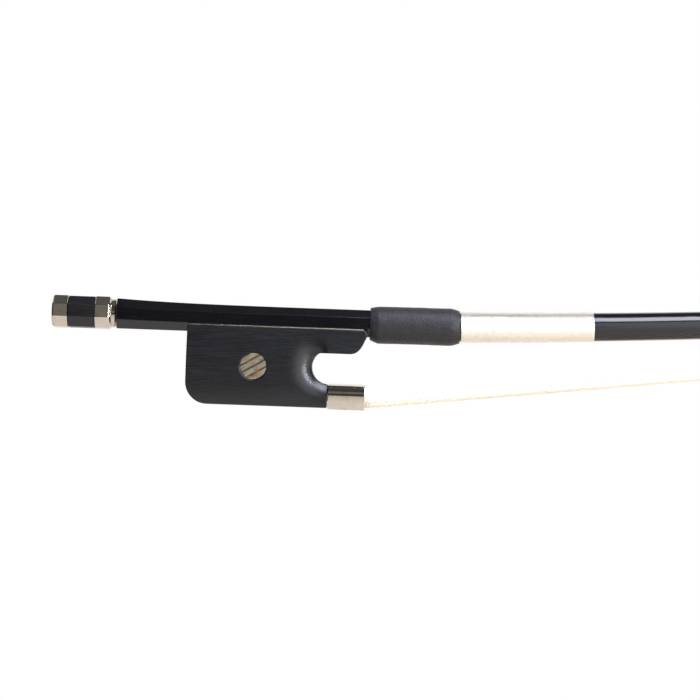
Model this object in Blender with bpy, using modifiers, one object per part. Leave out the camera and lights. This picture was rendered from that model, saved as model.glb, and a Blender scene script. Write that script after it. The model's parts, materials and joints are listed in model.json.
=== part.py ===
"""Double bass bow of the French pattern, in metres, +Z up.

+X runs from the screw button to the head, the hair runs below the stick, and XZ is the plane of symmetry.
The handle, the frog and the screw are drawn in the handle's own frame: u runs along the screw towards the
head from the frog's lower rear corner, and v stands square to it, up from the frog's flat bottom.
"""
import math

import bmesh
import bpy
from mathutils import Matrix, Vector

MM = 0.001
GAP = 0.3 * MM
FINE_GAP = 0.2 * MM

# Handle: its tilt against the hair, and the octagonal stick in it
HANDLE_TILT = math.radians(6.75)
STICK_FLATS = 9.6 * MM
STICK_REAR_FLATS = 10.7 * MM
STICK_SWELL_POWER = 4.5
STICK_REAR_U = -25.4 * MM
STICK_V = 30.27 * MM
SCREW_V = 30.85 * MM
GRIP_START_U = 64.3 * MM

# Shaft: its line over the hair, and its diameters
GRIP_END = Vector((36.05 * MM, 0, 26.5 * MM))
GRIP_END_SLOPE = -0.089
HEAD_START = Vector((528.0 * MM, 0, 26.3 * MM))
HEAD_START_SLOPE = 0.095
WINDING_END_X = 83.6 * MM
SHAFT_THICK = 10.1 * MM
SHAFT_THIN = 7.6 * MM
SHAFT_TAPER_POWER = 1.35
SHAFT_STEP = 26.0 * MM
SIDES = 24

# Head: side outline, face and mortise
FACE_REAR = Vector((549.0 * MM, 0, 5.0 * MM))
FACE_NOSE = Vector((584.0 * MM, 0, 1.9 * MM))
HEAD_CREST = (563.5 * MM, 31.2 * MM)
CREST_LEAD = (540.0 * MM, 31.2 * MM)
CREST_FOLLOW = (553.0 * MM, 33.2 * MM)
RIDGE_LEAD = (574.0 * MM, 29.2 * MM)
RIDGE_FOLLOW = (573.0 * MM, 8.0 * MM)
HEAD_THROAT_LEAD = (540.0 * MM, 23.6 * MM)
HEAD_THROAT_FOLLOW = (548.5 * MM, 22.0 * MM)
HEAD_HALF_WIDTH = 6.3 * MM
CREST_NARROWING = 0.42
CHEEK_FULLNESS = 0.16
HEAD_STATIONS = 20
HEAD_MORTISE = (557.0 * MM, 568.5 * MM)
HEAD_MORTISE_TOP = 15.0 * MM
HEAD_MORTISE_HALF_WIDTH = 4.4 * MM
PLATE_THICKNESS = 1.1 * MM
LINER_THICKNESS = 0.5 * MM

# Grip and winding
LEATHER_RADIUS = 6.6 * MM
LEATHER_END_ROUND = 3.0 * MM
LEATHER_END_DROP = 0.9 * MM
LEATHER_SAG = 0.36 * MM
WINDING_START_RADIUS = 5.55 * MM
WINDING_END_RADIUS = 5.35 * MM
WINDING_GAP = 0.1 * MM

# Frog outline
FROG_TOP_V = 27.8 * MM
FROG_HALF_WIDTH = 8.6 * MM
FROG_TOP_HALF_WIDTH = 7.0 * MM
HOLLOW_START_V = 16.0 * MM
HOLLOW_EASE = 4.3 * MM
HEEL_RADIUS = 7.8 * MM
FERRULE_REAR_U = 50.0 * MM
FERRULE_FRONT_U = 63.4 * MM
THROAT_CENTRE = (50.46 * MM, 14.4 * MM)
THROAT_RADIUS = 6.1 * MM
THROAT_TOP_ANGLE = 134
BEAK_UNDERSIDE_U = 47.6 * MM
BEAK_UNDERSIDE_V = 19.27 * MM
BEAK_BEND_U = 57.6 * MM
BEAK_TIP = (63.5 * MM, 25.7 * MM)
BEAK_TOP_U = 61.9 * MM
RIM_HALF_WIDTH = 6.1 * MM
SCOOP_START = 6.2 * MM
SCOOP_REACH = 13.0 * MM

# Frog fittings
LINER_METAL = 0.5 * MM
LINER_RIM = 0.45 * MM
EYE_CENTRE = (23.7 * MM, 13.85 * MM)
EYE_RADIUS = 4.65 * MM
EYE_THICKNESS = 1.2 * MM
EYE_SET_IN = 0.1 * MM
FERRULE_HALF_WIDTH = 8.9 * MM
FERRULE_BOTTOM_V = -0.35 * MM
FERRULE_SIDE_V = 4.5 * MM
FERRULE_TOP_V = 8.8 * MM
FERRULE_METAL = 0.6 * MM
FERRULE_LEAN = 0.4 * MM
TONGUE_FLOOR_V = 4.9 * MM
SLIDE_REAR_U = 9.0 * MM
SLIDE_HALF_WIDTH = 5.6 * MM
SLIDE_DEPTH = 2.4 * MM
PEARL_THICKNESS = 1.0 * MM
CHANNEL_TOP_V = 5.4 * MM
MORTISE_U = (17.0 * MM, 29.0 * MM)
MORTISE_TOP_V = 11.5 * MM
MORTISE_HALF_WIDTH = 4.6 * MM

# Screw, eyelet and their travel
SCREW_RADIUS = 1.5 * MM
SCREW_BORE_RADIUS = 1.8 * MM
SCREW_TIP_U = 33.0 * MM
THREAD_PITCH = 0.7 * MM
SCREW_TURNS = 11
FROG_TRAVEL = SCREW_TURNS * THREAD_PITCH
EYELET_U = 24.0 * MM
EYELET_LENGTH = 5.0 * MM
EYELET_RADIUS = 2.6 * MM
EYELET_STEM_RADIUS = 1.6 * MM

# Button
BUTTON_FLATS = 11.2 * MM
BUTTON_TURN = math.radians(-5.5)
BUTTON_FRONT_U = STICK_REAR_U - GAP
COLLAR_LENGTH = 1.6 * MM
COLLAR_RADIUS = 5.1 * MM
RING_BEVEL = 0.9 * MM
FRONT_RING_LENGTH = 5.9 * MM
EBONY_LENGTH = 10.0 * MM
END_RING_LENGTH = 6.1 * MM
NIPPLE_RADIUS = 3.2 * MM
NIPPLE_LENGTH = 3.6 * MM
TENON_RADIUS = 4.3 * MM

# Hair
HAIR_HALF_WIDTH_FROG = 7.4 * MM
HAIR_HALF_WIDTH_HEAD = 5.6 * MM
HAIR_THICK_MOUTH = 2.0 * MM
HAIR_THICK_FROG = 2.6 * MM
HAIR_THICK_MIDDLE = 1.8 * MM
HAIR_THICK_HEAD = 1.5 * MM
HAIR_SWELL = 9.0 * MM
HAIR_SETTLE = 140.0 * MM
HAIR_GATHER = 200 * MM

PARTS = "double_bass_bow"
CUTTERS = "cutters"


def clear_scene():
    """Empty the scene and make the two collections."""
    for obj in list(bpy.data.objects):
        bpy.data.objects.remove(obj, do_unlink=True)
    for name in (PARTS, CUTTERS):
        bpy.context.scene.collection.children.link(bpy.data.collections.new(name))


def finish(name, colour, roughness, metallic=0.0):
    """One Principled material, made once for each name."""
    made = bpy.data.materials.get(name)
    if made:
        return made
    made = bpy.data.materials.new(name)
    made.use_nodes = True
    made.diffuse_color = (*colour, 1)
    shader = made.node_tree.nodes["Principled BSDF"]
    shader.inputs["Base Color"].default_value = (*colour, 1)
    shader.inputs["Roughness"].default_value = roughness
    shader.inputs["Metallic"].default_value = metallic
    return made


def black_lacquer():
    return finish("black_lacquered_stick", (0.012, 0.012, 0.014), 0.18)


def ebony():
    return finish("ebony", (0.03, 0.03, 0.033), 0.38)


def nickel_silver():
    return finish("nickel_silver", (0.66, 0.64, 0.6), 0.28, 1.0)


def silver_wire():
    return finish("silver_wire", (0.82, 0.81, 0.78), 0.3, 1.0)


def brass():
    return finish("brass", (0.72, 0.53, 0.25), 0.35, 1.0)


def steel():
    return finish("screw_steel", (0.55, 0.56, 0.57), 0.3, 1.0)


def leather():
    return finish("black_leather", (0.035, 0.035, 0.038), 0.55)


def abalone():
    return finish("abalone", (0.32, 0.34, 0.29), 0.2)


def bone():
    return finish("bone_plate", (0.8, 0.77, 0.68), 0.35)


def maple():
    return finish("maple", (0.7, 0.52, 0.33), 0.6)


def horsehair():
    return finish("horsehair", (0.86, 0.79, 0.68), 0.45)


def empty(name, parent, matrix):
    """A frame that pieces are parented to."""
    made = bpy.data.objects.new(name, None)
    made.empty_display_size = 10 * MM
    bpy.data.collections[PARTS].objects.link(made)
    made.parent = parent
    made.matrix_local = matrix
    return made


def piece(name, mesh, parent, material):
    """An object in the parts collection."""
    made = bpy.data.objects.new(name, mesh)
    bpy.data.collections[PARTS].objects.link(made)
    made.parent = parent
    mesh.materials.clear()
    mesh.materials.append(material)
    return made


def cutter(name, mesh, parent):
    """An object that only shapes others."""
    made = bpy.data.objects.new(name, mesh)
    bpy.data.collections[CUTTERS].objects.link(made)
    made.parent = parent
    made.hide_render = True
    made.display_type = "WIRE"
    return made


def shape(target, tool, operation="DIFFERENCE"):
    """Cut, join or intersect the target with a tool."""
    step = target.modifiers.new(tool.name, "BOOLEAN")
    step.operation = operation
    step.solver = "EXACT"
    step.object = tool


def smooth(mesh, angle=35):
    """Shade a mesh smooth between its sharp edges."""
    mesh.shade_smooth()
    mesh.set_sharp_from_angle(angle=math.radians(angle))


SIDE = Matrix.Rotation(math.radians(90), 4, "X")
END = Matrix(((0, 0, 1, 0), (1, 0, 0, 0), (0, 1, 0, 0), (0, 0, 0, 1)))
PLAN = Matrix.Identity(4)


def extruded(name, outlines, facing, low, high):
    """Mesh of flat outlines extruded square to their plane.

    SIDE outlines are (u, v), END outlines are (y, v) and PLAN outlines are (u, y). A second outline inside
    the first is a hole.
    """
    curve = bpy.data.curves.new(name, "CURVE")
    curve.dimensions = "2D"
    curve.fill_mode = "BOTH"
    curve.extrude = (high - low) / 2
    for outline in outlines:
        spline = curve.splines.new("POLY")
        spline.points.add(len(outline) - 1)
        for point, (a, b) in zip(spline.points, outline):
            point.co = (a, b, 0, 1)
        spline.use_cyclic_u = True
    drawn = bpy.data.objects.new(name, curve)
    bpy.data.collections[CUTTERS].objects.link(drawn)
    bpy.context.view_layer.update()
    seen = drawn.evaluated_get(bpy.context.evaluated_depsgraph_get())
    mesh = bpy.data.meshes.new_from_object(seen)
    bpy.data.objects.remove(drawn, do_unlink=True)
    mesh.transform(facing @ Matrix.Translation((0, 0, (low + high) / 2)))
    tidy = bmesh.new()
    tidy.from_mesh(mesh)
    bmesh.ops.remove_doubles(tidy, verts=tidy.verts, dist=0.001 * MM)
    bmesh.ops.recalc_face_normals(tidy, faces=tidy.faces)
    tidy.to_mesh(mesh)
    tidy.free()
    mesh.name = name
    smooth(mesh, 25)
    return mesh


def box(name, low, high):
    """Box mesh between two corners."""
    build = bmesh.new()
    bmesh.ops.create_cube(build, size=1)
    low, high = Vector(low), Vector(high)
    size = high - low
    scaled = Matrix.Diagonal((*size, 1))
    bmesh.ops.transform(build, matrix=Matrix.Translation((low + high) / 2) @ scaled, verts=build.verts)
    mesh = bpy.data.meshes.new(name)
    build.to_mesh(mesh)
    build.free()
    return mesh


def rod(name, radius, start, end, sides=32, end_radius=None):
    """Round or faceted bar mesh between two points, with one flat up."""
    start, end = Vector(start), Vector(end)
    run = end - start
    turn = run.to_track_quat("Z", "Y").to_matrix().to_4x4()
    flat_up = Matrix.Rotation(math.pi / sides, 4, "Z")
    build = bmesh.new()
    bmesh.ops.create_cone(
        build,
        cap_ends=True,
        segments=sides,
        radius1=radius,
        radius2=radius if end_radius is None else end_radius,
        depth=run.length,
        matrix=Matrix.Translation((start + end) / 2) @ turn @ flat_up,
    )
    mesh = bpy.data.meshes.new(name)
    build.to_mesh(mesh)
    build.free()
    smooth(mesh)
    return mesh


def turned(name, profile, sides=32):
    """Turned mesh on the handle's axis from a profile of (u, radius), rear end first."""
    mesh = bpy.data.meshes.new(name)
    points = [(radius, 0, u) for u, radius in reversed(profile)]
    mesh.from_pydata(points, [(k, k + 1) for k in range(len(points) - 1)], [])
    drawn = bpy.data.objects.new(name, mesh)
    bpy.data.collections[CUTTERS].objects.link(drawn)
    spin = drawn.modifiers.new("turned", "SCREW")
    spin.axis = "Z"
    spin.steps = sides
    spin.render_steps = sides
    spin.use_merge_vertices = True
    spin.merge_threshold = 0.01 * MM
    bpy.context.view_layer.update()
    made = bpy.data.meshes.new_from_object(drawn.evaluated_get(bpy.context.evaluated_depsgraph_get()))
    bpy.data.objects.remove(drawn, do_unlink=True)
    made.transform(Matrix.Rotation(math.radians(90), 4, "Y"))
    made.name = name
    smooth(made)
    return made


def loft(name, rings, closed=False):
    """Mesh through rings of points, capped at both ends, or joined end to end if closed."""
    build = bmesh.new()
    rows = [[build.verts.new(point) for point in ring] for ring in rings]
    pairs = list(zip(rows, rows[1:]))
    if closed:
        pairs.append((rows[-1], rows[0]))
    for row, after in pairs:
        for k in range(len(row)):
            n = (k + 1) % len(row)
            build.faces.new((row[k], row[n], after[n], after[k]))
    if not closed:
        build.faces.new(list(reversed(rows[0])))
        build.faces.new(rows[-1])
    bmesh.ops.recalc_face_normals(build, faces=build.faces)
    mesh = bpy.data.meshes.new(name)
    build.to_mesh(mesh)
    build.free()
    smooth(mesh)
    return mesh


def arc(centre, radius, start, end, steps):
    """Points on an arc, from a start angle to an end angle in degrees."""
    points = []
    for k in range(steps + 1):
        angle = math.radians(start + (end - start) * k / steps)
        points.append((centre[0] + radius * math.cos(angle), centre[1] + radius * math.sin(angle)))
    return points


def bezier(start, lead, follow, end, steps):
    """Points on a cubic curve between two points, from two handles."""
    points = []
    for k in range(steps + 1):
        t = k / steps
        weights = ((1 - t) ** 3, 3 * t * (1 - t) ** 2, 3 * t * t * (1 - t), t ** 3)
        knots = (start, lead, follow, end)
        points.append(tuple(sum(w * p[i] for w, p in zip(weights, knots)) for i in range(2)))
    return points


def mirrored(half):
    """A closed outline from its half on +y, listed from the bottom up."""
    return half + [(-y, v) for y, v in reversed(half) if y > 0.0001 * MM]


def octagon(flats, centre_v=0.0):
    """Eight corners of an octagon with one flat up."""
    reach = flats / 2 / math.cos(math.pi / 8)
    return arc((0, centre_v), reach, 22.5, 22.5 + 315, 7)


def eased(t):
    """Smooth step from 0 to 1."""
    t = min(max(t, 0), 1)
    return t * t * (3 - 2 * t)


def hermite(x, start, start_slope, end, end_slope):
    """Height and slope at x of a cubic from start to end."""
    run = end.x - start.x
    t = (x - start.x) / run
    height = (
        (2 * t ** 3 - 3 * t * t + 1) * start.z
        + (t ** 3 - 2 * t * t + t) * run * start_slope
        + (3 * t * t - 2 * t ** 3) * end.z
        + (t ** 3 - t * t) * run * end_slope
    )
    slope = (
        (6 * t * t - 6 * t) * (start.z - end.z) / run
        + (3 * t * t - 4 * t + 1) * start_slope
        + (3 * t * t - 2 * t) * end_slope
    )
    return height, slope


def handle_matrix():
    """Place of the handle's frame: the ferrule's lower front edge lies on the X axis."""
    tilt = Matrix.Rotation(HANDLE_TILT, 4, "Y")
    edge = Vector((FERRULE_FRONT_U, 0, FERRULE_BOTTOM_V))
    return Matrix.Translation(-(tilt @ edge)) @ tilt


def on_handle(u, v):
    """World point of a place in the handle's frame."""
    return handle_matrix() @ Vector((u, 0, v))


def shaft_line(x):
    """Height and slope of the stick's centre line from the grip to the head."""
    start = on_handle(GRIP_START_U, STICK_V)
    if x < GRIP_END.x:
        return hermite(x, start, -math.tan(HANDLE_TILT), GRIP_END, GRIP_END_SLOPE)
    return hermite(x, GRIP_END, GRIP_END_SLOPE, HEAD_START, HEAD_START_SLOPE)


def shaft_radius(x):
    """Radius of the round shaft."""
    along = min(max((x - WINDING_END_X) / (HEAD_START.x - WINDING_END_X), 0), 1)
    return (SHAFT_THIN + (SHAFT_THICK - SHAFT_THIN) * (1 - along) ** SHAFT_TAPER_POWER) / 2


def unit_section(roundness):
    """Section of unit half width, from an octagon (0) to a circle (1)."""
    points = []
    for k in range(SIDES):
        angle = math.radians(7.5 + 360 / SIDES * k)
        off_flat = (math.degrees(angle) + 22.5) % 45 - 22.5
        reach = 1 / math.cos(math.radians(off_flat))
        reach += (1 - reach) * roundness
        points.append((reach * math.cos(angle), reach * math.sin(angle)))
    return points


def ring_at(x, z, slope, half, roundness):
    """Ring of the stick square to its line."""
    tilt = math.atan(slope)
    up = Vector((-math.sin(tilt), 0, math.cos(tilt)))
    ring = []
    for y, v in unit_section(roundness):
        ring.append(Vector((x, y * half, z)) + up * (v * half))
    return ring


def rear_growth(u):
    """How much thicker the handle is at u than at the grip: it swells slowly towards its rear end."""
    along = (u - STICK_REAR_U) / (GRIP_START_U - STICK_REAR_U)
    return (STICK_REAR_FLATS - STICK_FLATS) * (1 - along) ** STICK_SWELL_POWER


def handle_rings():
    """Rings of the octagonal handle, rear end first. Its lowest facet stays straight."""
    rings = []
    steps = 10
    for k in range(steps + 1):
        u = STICK_REAR_U + (GRIP_START_U - STICK_REAR_U) * k / steps
        half_growth = rear_growth(u) / 2
        place = on_handle(u, STICK_V + half_growth)
        rings.append(ring_at(place.x, place.z, -math.tan(HANDLE_TILT), STICK_FLATS / 2 + half_growth, 0))
    return rings


def shaft_stations():
    """Stations of the stick from the grip to the head: x, height, slope, radius, roundness."""
    stations = []
    start = on_handle(GRIP_START_U, STICK_V).x
    places = [start + (GRIP_END.x - start) * k / 4 for k in range(1, 5)]
    count = round((HEAD_START.x - GRIP_END.x) / SHAFT_STEP)
    places += [GRIP_END.x + (HEAD_START.x - GRIP_END.x) * k / count for k in range(1, count)]
    for x in places:
        height, slope = shaft_line(x)
        roundness = eased((x - start) / (GRIP_END.x - start))
        half = STICK_FLATS / 2 + (shaft_radius(x) - STICK_FLATS / 2) * roundness
        stations.append((x, height, slope, half, roundness))
    return stations


def head_outline():
    """The head's side view as two edges: crest to nose, and throat to the face's rear."""
    top_start = (HEAD_START.x - SHAFT_THIN / 2 * HEAD_START_SLOPE, HEAD_START.z + SHAFT_THIN / 2)
    low_start = (HEAD_START.x + SHAFT_THIN / 2 * HEAD_START_SLOPE, HEAD_START.z - SHAFT_THIN / 2)
    nose = (FACE_NOSE.x, FACE_NOSE.z)
    heel = (FACE_REAR.x, FACE_REAR.z)
    half = HEAD_STATIONS // 2
    top = bezier(top_start, CREST_LEAD, CREST_FOLLOW, HEAD_CREST, half)
    top += bezier(HEAD_CREST, RIDGE_LEAD, RIDGE_FOLLOW, nose, half)[1:]
    low = bezier(low_start, HEAD_THROAT_LEAD, HEAD_THROAT_FOLLOW, heel, HEAD_STATIONS)
    return top, low


def head_rings():
    """Rings that turn from the round shaft to the flat face of the head."""
    top, low = head_outline()
    rings = []
    for k, (crest, throat) in enumerate(zip(top, low)):
        t = k / HEAD_STATIONS
        middle = (Vector((crest[0], 0, crest[1])) + Vector((throat[0], 0, throat[1]))) / 2
        reach = Vector((crest[0], 0, crest[1])) - middle
        spread = eased(t * 1.15)
        width = SHAFT_THIN / 2 + (HEAD_HALF_WIDTH - SHAFT_THIN / 2) * spread
        ring = []
        for y, v in unit_section(1):
            narrowing = 1 - CREST_NARROWING * spread * max(v, 0) ** 1.5
            fullness = 1 + CHEEK_FULLNESS * spread * abs(y) * abs(v)
            ring.append(middle + reach * v + Vector((0, y * width * narrowing * fullness, 0)))
        rings.append(ring)
    return rings


def face_outline(inset=0.0):
    """Plan of the head's face as (distance along the face, y), from its last ring."""
    ring = head_rings()[-1]
    along = (FACE_NOSE - FACE_REAR).normalized()
    points = []
    for point in ring:
        points.append(((point - FACE_REAR).dot(along), point.y))
    middle = sum(point[0] for point in points) / len(points)
    shrink = 1 - inset / HEAD_HALF_WIDTH
    return [(middle + (a - middle) * shrink, y * shrink) for a, y in points]


def face_matrix():
    """Frame of the head's face: x along it from its rear edge, z out of the head."""
    along = (FACE_NOSE - FACE_REAR).normalized()
    out = Vector((0, 1, 0)).cross(along)
    across = out.cross(along)
    turn = Matrix((along, across, out)).transposed().to_4x4()
    return Matrix.Translation(FACE_REAR) @ turn


def build_stick(bow, handle):
    """The stick, with the bores and mortises that the screw, eyelet and hair need."""
    rings = handle_rings()
    rings += [ring_at(*station) for station in shaft_stations()]
    rings += head_rings()
    stick = piece("stick", loft("stick", rings), bow, black_lacquer())
    nipple = rod(
        "nipple",
        NIPPLE_RADIUS,
        (STICK_REAR_U + 2 * MM, 0, SCREW_V),
        (STICK_REAR_U - NIPPLE_LENGTH, 0, SCREW_V),
    )
    shape(stick, cutter("nipple", nipple, handle), "UNION")
    bore = rod(
        "screw_bore",
        SCREW_BORE_RADIUS,
        (STICK_REAR_U - 8 * MM, 0, SCREW_V),
        (SCREW_TIP_U + 2 * MM, 0, SCREW_V),
        24,
    )
    shape(stick, cutter("screw_bore", bore, handle))
    rear = EYELET_U - EYELET_LENGTH / 2 - FROG_TRAVEL - 1.2 * MM
    front = EYELET_U + EYELET_LENGTH / 2 + 0.8 * MM
    half = EYELET_RADIUS + GAP
    mortise = box(
        "eyelet_mortise",
        (rear, -half, SCREW_V - 8 * MM),
        (front, half, SCREW_V + EYELET_RADIUS + 0.5 * MM),
    )
    shape(stick, cutter("eyelet_mortise", mortise, handle))
    pocket = box(
        "head_mortise",
        (HEAD_MORTISE[0], -HEAD_MORTISE_HALF_WIDTH, -2 * MM),
        (HEAD_MORTISE[1], HEAD_MORTISE_HALF_WIDTH, HEAD_MORTISE_TOP),
    )
    shape(stick, cutter("head_mortise", pocket, bow))


def build_head(bow):
    """Liner, plate, plug and hair knot of the head."""
    face = empty("head_face", bow, face_matrix())
    layers = (
        ("head_liner", GAP, LINER_THICKNESS, ebony()),
        ("head_plate", 2 * GAP + LINER_THICKNESS, PLATE_THICKNESS, bone()),
    )
    opening = bpy.data.objects["head_mortise"]
    for name, start, thickness, material in layers:
        mesh = extruded(name, [face_outline(0.15 * MM)], PLAN, start, start + thickness)
        shape(piece(name, mesh, face, material), opening)
    knot_rear = HEAD_MORTISE[0] + GAP
    knot_top = HEAD_MORTISE_TOP - GAP
    half = HEAD_MORTISE_HALF_WIDTH - GAP
    knot = [
        (knot_rear, 2.05 * MM),
        (knot_rear + 1.5 * MM, 2.05 * MM),
        (knot_rear + 2.0 * MM, 9.0 * MM),
        (knot_rear + 5.0 * MM, 10.2 * MM),
        (knot_rear + 5.6 * MM, knot_top - 1.2 * MM),
        (knot_rear + 4.4 * MM, knot_top),
        (knot_rear + 1.0 * MM, knot_top),
        (knot_rear, knot_top - 1.2 * MM),
    ]
    piece("head_hair_knot", extruded("head_hair_knot", [knot], SIDE, -half, half), bow, horsehair())
    plug_front = HEAD_MORTISE[1] - GAP
    plug = [
        (knot_rear + 1.9 * MM, 3.0 * MM),
        (plug_front, 2.4 * MM),
        (plug_front, knot_top - 2.4 * MM),
        (knot_rear + 6.0 * MM, knot_top - 2.4 * MM),
        (knot_rear + 5.5 * MM, 9.8 * MM),
        (knot_rear + 2.4 * MM, 8.6 * MM),
    ]
    piece("head_wedge", extruded("head_wedge", [plug], SIDE, -half, half), bow, maple())


def sleeve(name, bow, start, end, outer, clearance, material, steps):
    """A fitted tube round the stick between two places, its outer radius and sag functions of t."""
    skin = []
    lining = []
    begin = on_handle(GRIP_START_U, STICK_V).x
    for k in range(steps + 1):
        t = k / steps
        x = start + (end - start) * t
        height, slope = shaft_line(x)
        roundness = eased((x - begin) / (GRIP_END.x - begin))
        half = STICK_FLATS / 2 + (shaft_radius(x) - STICK_FLATS / 2) * roundness
        radius, sag = outer(t)
        skin.append(ring_at(x, height - sag, slope, radius, 1))
        lining.append(ring_at(x, height, slope, half + clearance, roundness))
    rings = skin + list(reversed(lining))
    return piece(name, loft(name, rings, closed=True), bow, material)


def build_grip(bow):
    """The padded leather grip and the silver wire winding."""
    start = on_handle(GRIP_START_U, STICK_V).x + 0.4 * MM
    end = GRIP_END.x
    length = end - start

    def padded(t):
        from_end = min(t, 1 - t) * length
        fall = max(1 - from_end / LEATHER_END_ROUND, 0)
        radius = LEATHER_RADIUS - LEATHER_END_DROP * fall ** 1.3
        return radius, LEATHER_SAG * (1 - eased(t / 0.6)) * (1 - fall)

    sleeve("leather_grip", bow, start, end, padded, GAP, leather(), 24)

    def wound(t):
        return WINDING_START_RADIUS + (WINDING_END_RADIUS - WINDING_START_RADIUS) * t, 0

    sleeve("winding", bow, end + GAP, WINDING_END_X, wound, WINDING_GAP, silver_wire(), 6)


def frog_outline():
    """Side view of the ebony block, anticlockwise from the heel."""
    throat_start = 270 - math.degrees(math.asin((THROAT_CENTRE[0] - FERRULE_REAR_U) / THROAT_RADIUS))
    points = arc((HEEL_RADIUS, HEEL_RADIUS), HEEL_RADIUS, 180, 270, 8)
    points += [(FERRULE_REAR_U, 0)]
    points += arc(THROAT_CENTRE, THROAT_RADIUS, throat_start, THROAT_TOP_ANGLE, 14)
    reach = 0.5 * MM
    points += bezier(
        points[-1],
        (points[-1][0] + reach * 0.72, points[-1][1] + reach * 0.69),
        (BEAK_UNDERSIDE_U - reach, BEAK_UNDERSIDE_V),
        (BEAK_UNDERSIDE_U, BEAK_UNDERSIDE_V),
        3,
    )[1:]
    points += bezier(
        (BEAK_BEND_U, BEAK_UNDERSIDE_V),
        (BEAK_BEND_U + 3.4 * MM, BEAK_UNDERSIDE_V),
        (BEAK_TIP[0] - 1.4 * MM, BEAK_TIP[1] - 3.2 * MM),
        BEAK_TIP,
        7,
    )
    points += beak_front()[1:]
    points += [(0, FROG_TOP_V)]
    return points


def beak_front():
    """The rounded front of the beak, from its tip up to the top edge."""
    lead = (BEAK_TIP[0] + 0.15 * MM, BEAK_TIP[1] + 1.0 * MM)
    follow = (BEAK_TOP_U + 0.9 * MM, FROG_TOP_V)
    return bezier(BEAK_TIP, lead, follow, (BEAK_TOP_U, FROG_TOP_V), 4)


def frog_section():
    """End view of the block: upright cheeks that are hollowed towards the stick."""
    corner = 0.9 * MM
    half = arc((FROG_HALF_WIDTH - corner, corner), corner, -90, 0, 3)
    half += bezier(
        (FROG_HALF_WIDTH, HOLLOW_START_V),
        (FROG_HALF_WIDTH, HOLLOW_START_V + HOLLOW_EASE),
        (FROG_TOP_HALF_WIDTH, FROG_TOP_V + 1 * MM - HOLLOW_EASE),
        (FROG_TOP_HALF_WIDTH, FROG_TOP_V + 1 * MM),
        8,
    )
    return mirrored(half)


def ferrule_arch():
    """The ferrule's upper side in parts of its half width and rise: a bulge, a tight shoulder, a dome."""
    arch = bezier((1, 0), (1, 0.37), (0.972, 0.54), (0.916, 0.79), 4)
    arch += bezier((0.916, 0.79), (0.892, 0.9), (0.843, 0.947), (0.798, 0.958), 4)[1:]
    arch += bezier((0.798, 0.958), (0.55, 0.992), (0.3, 1), (0, 1), 4)[1:]
    return arch


def ferrule_section(inset, floor=None):
    """The ferrule's D in end view, drawn in by inset, and cut off flat below floor if it is given."""
    wide = FERRULE_HALF_WIDTH - inset
    rise = FERRULE_TOP_V - inset - FERRULE_SIDE_V
    low = FERRULE_BOTTOM_V + inset
    corner = 0.5 * MM
    arch = [(wide * y, FERRULE_SIDE_V + rise * v) for y, v in ferrule_arch()]
    if floor is not None:
        return mirrored([(wide, floor)] + [point for point in arch if point[1] > floor])
    foot = wide - FERRULE_LEAN
    return mirrored([(foot - corner, low), (foot, low + corner)] + arch)


def scoop(name, side):
    """Bell-shaped hollow of one cheek, deepest at the throat's rim and running out softly."""
    depth = FROG_HALF_WIDTH - RIM_HALF_WIDTH
    profile = [(1 * MM, RIM_HALF_WIDTH)]
    for k in range(9):
        t = k / 8
        place = SCOOP_START + (SCOOP_REACH - SCOOP_START) * t
        profile.append((place, RIM_HALF_WIDTH + (depth + 0.05 * MM) * eased(t)))
    profile.append((SCOOP_REACH, FROG_HALF_WIDTH + 3 * MM))
    rings = []
    for reach, y in profile:
        circle = arc(THROAT_CENTRE, reach, 0, 352.5, 47)
        rings.append([Vector((u, side * y, v)) for u, v in circle])
    return loft(name, rings)


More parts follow.
